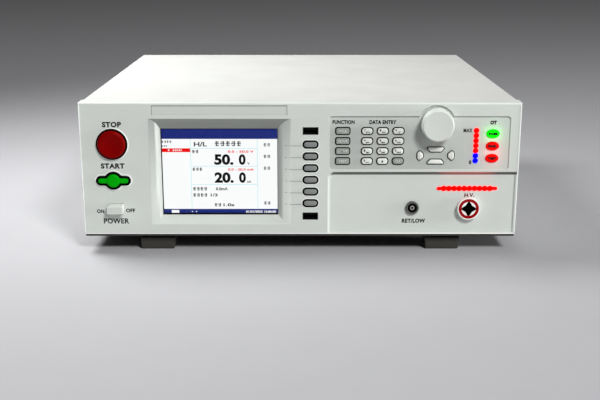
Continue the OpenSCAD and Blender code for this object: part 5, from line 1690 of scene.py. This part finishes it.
@dataclass
class Legends:
    """The words printed on the panel, and the lines that lead to the soft keys.

    Each row of dashes gives where it starts on the display's right slope, as
    x and depth, its length, and how far it turns from the front in degrees.
    """

    words: tuple[Word, ...] = (
        Word("legend_stop", "STOP", -183.0, 111.2, 18.6, 5.4, 0.0, 0.045, INK_BLACK),
        Word("legend_start", "START", -183.9, 70.0, 23.4, 5.4, 0.0, 0.045, INK_BLACK),
        Word("legend_on", "ON", -198.2, 23.8, 7.2, 4.0, 0.0, 0.04, INK_BLACK),
        Word("legend_off", "OFF", -168.4, 24.6, 9.2, 4.0, 0.0, 0.04, INK_BLACK),
        Word("legend_power", "POWER", -182.9, 13.8, 25.2, 5.5, 0.0, 0.03, INK_BLACK),
        Word("legend_function", "FUNCTION", 42.3, 113.4, 21.4, 3.9, KEYPAD_DEPTH, 0.05, INK_BLACK),
        Word("legend_data_entry", "DATA ENTRY", 80.6, 113.4, 26.2, 3.9, KEYPAD_DEPTH, 0.05,
             INK_BLACK),
        Word("legend_max", "MAX", 163.6, 105.2, 8.6, 3.9, KEYPAD_DEPTH, 0.035, INK_BLACK),
        Word("legend_zero", "0", 167.1, 73.4, 2.4, 4.0, KEYPAD_DEPTH, 0.05, INK_BLACK),
        Word("legend_lamps", "OT", 188.1, 112.9, 6.4, 4.0, KEYPAD_DEPTH, 0.08, INK_BLACK),
        Word("legend_hv", "H.V.", 168.2, 39.5, 9.8, 3.9, TERMINAL_DEPTH, 0.05, INK_WINE),
        Word("legend_return", "RET/LOW", 113.5, 13.0, 23.2, 4.4, TERMINAL_DEPTH, 0.045, INK_BLACK),
    )
    line_drop: float = 1.4
    line_height: float = 0.45
    line_length: float = 10.4
    line_x: float = -2.8
    dashes: tuple[Box, ...] = ((-8.2, 0.0, 2.2, -11.3), (-13.0, 1.29, 1.6, -26.9))

    def build(self) -> None:
        """Print each word and each leader line."""
        for word in self.words:
            mount(word.cut(), CASE, "panel_paint", finish=word.ink)
        rows = [z - self.line_drop for z in SoftKeys.rows]
        lines = [(self.line_x, z, self.line_length, self.line_height) for z in rows]
        mount(Bench.tiles("leader_lines", lines, front=-0.04, back=0.02), CASE, "panel_paint",
              finish=INK_GREY)
        groups = []
        for x, depth, width, angle in self.dashes:
            marks = [(x - width / 2, z, width, self.line_height) for z in rows]
            group = Bench.tiles("dash", marks, front=-0.12, back=0.05)
            groups.append(Bench.swing(group, x, depth, angle))
        mount(Bench.join("leader_dashes", groups), CASE, "panel_paint", finish=INK_GREY)


@dataclass
class RearSide:
    """Fan screws, connector pins, inlet blades and words, placed as seen from behind.

    Each piece is modelled facing the front, with the rear panel's face at
    depth 0, and then turned half round. A shell is the place of a connector
    from left to right, its width and the number of pins in its longer row. A
    profile's points are radius and depth.
    """

    fan: Point = (-140.0, 66.25)
    fan_reach: float = 35.5
    shells: tuple[tuple[float, float, int], ...] = ((40.0, 17.0, 5), (-35.0, 39.0, 13))
    shell_height: float = 8.4
    signal_z: float = 90.0
    pin_pitch: float = 2.77
    inlet: Point = (160.0, 38.0)
    blades: tuple[Point, ...] = ((-7.0, -3.5), (7.0, -3.5), (0.0, 0.5))
    earth: Point = (108.0, 30.0)
    screw: tuple[Point, ...] = ((0.0, -2.3), (1.5, -2.25), (2.7, -1.9), (3.4, -1.2),
                                (3.5, -0.02), (0.0, -0.02))
    pin: tuple[Point, ...] = ((0.0, -5.2), (0.3, -5.1), (0.5, -4.8), (0.5, -3.3), (0.0, -3.3))
    pin_row: float = 1.42
    post: tuple[Point, ...] = ((0.0, -3.0), (1.2, -3.0), (1.2, -5.6), (1.45, -5.9), (2.3, -5.9),
                               (2.6, -5.6), (2.6, -1.02), (0.0, -1.02))
    post_gap: float = 4.0
    block_gap: float = 1.9

    def build(self) -> None:
        """Model every piece of the rear side."""
        self._fan_screws()
        self._connectors()
        self._inlet()
        self._words()

    def _set(self, piece: Piece, slot: str, finish: Finish | None = None) -> None:
        """Turn a piece to the rear and mount it on the case."""
        mount(Bench.face_back(piece), CASE, slot, finish=finish)

    def _fan_screws(self) -> None:
        """Turn one domed screw with a cross, and copy it to the fan's corners."""
        x, z = self.fan
        far = self.fan_reach
        screw = Bench.turned("fan_screw", (x - far, z - far), self.screw, 32)
        steps = [(a, b) for a in (0, 2 * far) for b in (0, 2 * far)]
        heads = [Bench.copy(screw, "fan_screw", a, b) for a, b in steps]
        bpy.data.objects.remove(screw)
        self._set(Bench.join("fan_screws", heads), "screw_steel")
        slots = []
        for a, b in steps:
            u, v = x - far + a, z - far + b
            slots += [(u, v, 3.6, 0.7), (u, v + 1.08, 0.7, 1.4), (u, v - 1.08, 0.7, 1.4)]
        self._set(Bench.tiles("fan_screw_slots", slots, front=-2.36, back=-1.8), "black_plastic")

    def _connectors(self) -> None:
        """Model the insulators, the pins and the hexagonal posts of both connectors."""
        z = self.signal_z
        pin = Bench.turned("pin", (0.0, z), self.pin, 12)
        post = Bench.turned("post", (0.0, z), self.post, 6)
        blocks, pins, posts = [], [], []
        for x, width, count in self.shells:
            corners = box_corners((x, z), width - self.block_gap,
                                  self.shell_height - self.block_gap)
            blocks.append(Bench.prism("block", corners, back=0.95, front=-3.4, corner=1.0, steps=4,
                                      edge=0.3, edge_steps=2))
            for row, number in ((self.pin_row, count), (-self.pin_row, count - 1)):
                first = x - (number - 1) * self.pin_pitch / 2
                pins += [Bench.copy(pin, "pin", first + i * self.pin_pitch, row)
                         for i in range(number)]
            posts += [Bench.copy(post, "post", x + side * (width / 2 + self.post_gap), 0)
                      for side in (-1, 1)]
        for piece in (pin, post):
            bpy.data.objects.remove(piece)
        self._set(Bench.join("signal_connector_blocks", blocks), "black_plastic")
        self._set(Bench.join("signal_connector_pins", pins), "post_brass")
        self._set(Bench.join("signal_connector_posts", posts), "screw_steel")

    def _inlet(self) -> None:
        """Model the three blades of the mains inlet."""
        first = Bench.prism("blade", box_corners(self.inlet, 2.2, 4.2), back=17.0, front=1.85,
                            corner=0.3, steps=2, edge=0.6, edge_steps=2)
        blades = [Bench.copy(first, "blade", a, b) for a, b in self.blades]
        bpy.data.objects.remove(first)
        self._set(Bench.join("mains_inlet_blades", blades), "port_metal")

    def _words(self) -> None:
        """Print the words and the earth mark beside what they name."""
        (small, *_), (large, *_) = self.shells
        height, bold, above = 3.6, 0.018, self.signal_z + 12.0
        for name, text, x, z, width in (("mains", "AC IN", self.inlet[0], 58.0, 14.0),
                                        ("remote", "REMOTE", small, above, 18.0),
                                        ("signal", "SIGNAL", large, above, 17.0)):
            word = Word(f"rear_word_{name}", text, x, z, width, height, 0.0, bold, INK_BLACK)
            self._set(word.cut(), "rear_paint", word.ink)
        x, z = self.earth
        mark = [(x, z + 15.2, 0.6, 3.0)]
        mark += [(x, z + up, width, 0.6) for up, width in ((13.4, 6.0), (12.0, 4.0), (10.6, 2.0))]
        self._set(Bench.tiles("rear_earth_mark", mark, front=-0.05, back=0.02), "rear_paint",
                  INK_BLACK)


@dataclass
class Studio:
    """The camera, the floor and the soft lights, with places and sizes in metres.

    A light is its name, place, aim, size, power and spread. A glow stands
    close before a lamp: its name, its place on the panel in millimetres, its
    turn in degrees from facing down, its size in millimetres, power, colour
    and spread.
    """

    eye: Place = (0.0, -1.1245, 0.3035)
    tilt: float = 15.1
    lens: float = 58.0
    floor_size: float = 24.0
    backdrop: float = 0.1
    lights: tuple[tuple[str, Place, Place, float, float, float], ...] = (
        ("key", (1.39, -2.95, 2.7), (0, -0.2, 0.08), 1.0, 135, 180),
        ("top", (-0.55, 0.1, 0.8), (-0.2, 0.0, 0.15), 0.5, 5, 125),
        ("side", (2.4, -0.5, 0.35), (0.0, -0.2, 0.1), 0.5, 30, 180))
    glows: tuple[tuple[str, Place, float, Point, float, Place, float], ...] = (
        ("pass", (188.1, -5.0, 102.0), 90, (12, 8), 1.1e-3, (0.1, 1.0, 0.1), 180),
        ("fail", (188.1, -5.0, 83.6), 90, (12, 20), 1.3e-3, (1.0, 0.1, 0.1), 180),
        ("column", (172.0, -2.5, 90.0), 90, (3, 32), 1e-4, (1.0, 0.1, 0.3), 180),
        ("bar", (165.5, 0.2, 49.6), 180, (52, 2), 1e-3, (1.0, 0.05, 0.02), 60))

    def build(self) -> None:
        """Set the camera, the floor, the lights and the even background."""
        self._camera()
        self._floor()
        for name, place, aim, size, power, spread in self.lights:
            light = self._hang(f"light_{name}", "DISK", Vector(place), power, spread)
            light.data.size = size
            way = Vector(aim) - Vector(place)
            light.rotation_euler = way.to_track_quat("-Z", "Y").to_euler()
        for name, place, turn, size, power, colour, spread in self.glows:
            light = self._hang(f"glow_{name}", "RECTANGLE", at(*place), power, spread)
            light.data.size, light.data.size_y = Vector(size) * MM
            light.data.color = colour
            light.rotation_euler.x = math.radians(turn)
        self._background()

    def _camera(self) -> None:
        """Set the camera where the photograph was taken from."""
        Bench.clear()
        bpy.ops.object.camera_add(location=self.eye, rotation=(math.radians(90 - self.tilt), 0, 0))
        camera = bpy.context.object
        camera.name = "camera"
        camera.data.lens = self.lens
        camera.data.sensor_width = 36
        camera.data.dof.use_dof = False
        bpy.context.scene.camera = camera

    def _floor(self) -> None:
        """Lay a wide plain floor."""
        Bench.clear()
        bpy.ops.mesh.primitive_grid_add(x_subdivisions=8, y_subdivisions=8, size=self.floor_size)
        floor = bpy.context.object
        floor.name = "studio_floor"
        dress(floor, FLOOR_PALE)

    @staticmethod
    def _hang(name: str, shape: str, place: Vector, power: float, spread: float) -> Piece:
        """Hang one area light that the camera doesn't see.

        Args:
            name: its name.
            shape: Blender's word for its shape.
            place: its middle, in metres.
            power: its power in watts.
            spread: the angle that it shines into, in degrees.

        Returns:
            The light, facing down.
        """
        bpy.ops.object.light_add(type="AREA", location=place)
        light = bpy.context.object
        light.name = name
        light.data.shape = shape
        light.data.energy = power
        light.data.spread = math.radians(spread)
        light.visible_camera = False
        return light

    def _background(self) -> None:
        """Set the even pale background and the plain view."""
        scene = bpy.context.scene
        scene.world = bpy.data.worlds.new("studio")
        scene.world.use_nodes = True
        backdrop = scene.world.node_tree.nodes["Background"]
        backdrop.inputs["Color"].default_value = (1.0, 1.0, 1.0, 1.0)
        backdrop.inputs["Strength"].default_value = self.backdrop
        scene.view_settings.view_transform = "Standard"


def dress_nodes() -> None:
    """Give every CAD node the finish of its slot."""
    for node, slot in SLOT_OF.items():
        dress(frame["nodes"][node], FINISHES[slot])
        log.info("%s dressed as %s", node, FINISHES[slot].name)
    # the ports' metal shells are painted near black: painted shade
    dress(frame["nodes"]["usb_ports"], PORT_SHADE)


def main() -> None:
    """Build the tester's pieces in order."""
    logging.basicConfig(level=logging.INFO, format="%(name)s: %(message)s")
    dress_nodes()
    Studio().build()
    for part in (Casework(), SoftKeys(), Keypad(), ArrowKeys(), Knob(), StopButton(),
                 StartButton(), PowerButton(), SignalLamps(), WarningBar(), Terminals(), Ports(),
                 Display(), Legends(), RearSide()):
        part.build()
        log.info("%s done", type(part).__name__)


if __name__ == "__main__":
    main()
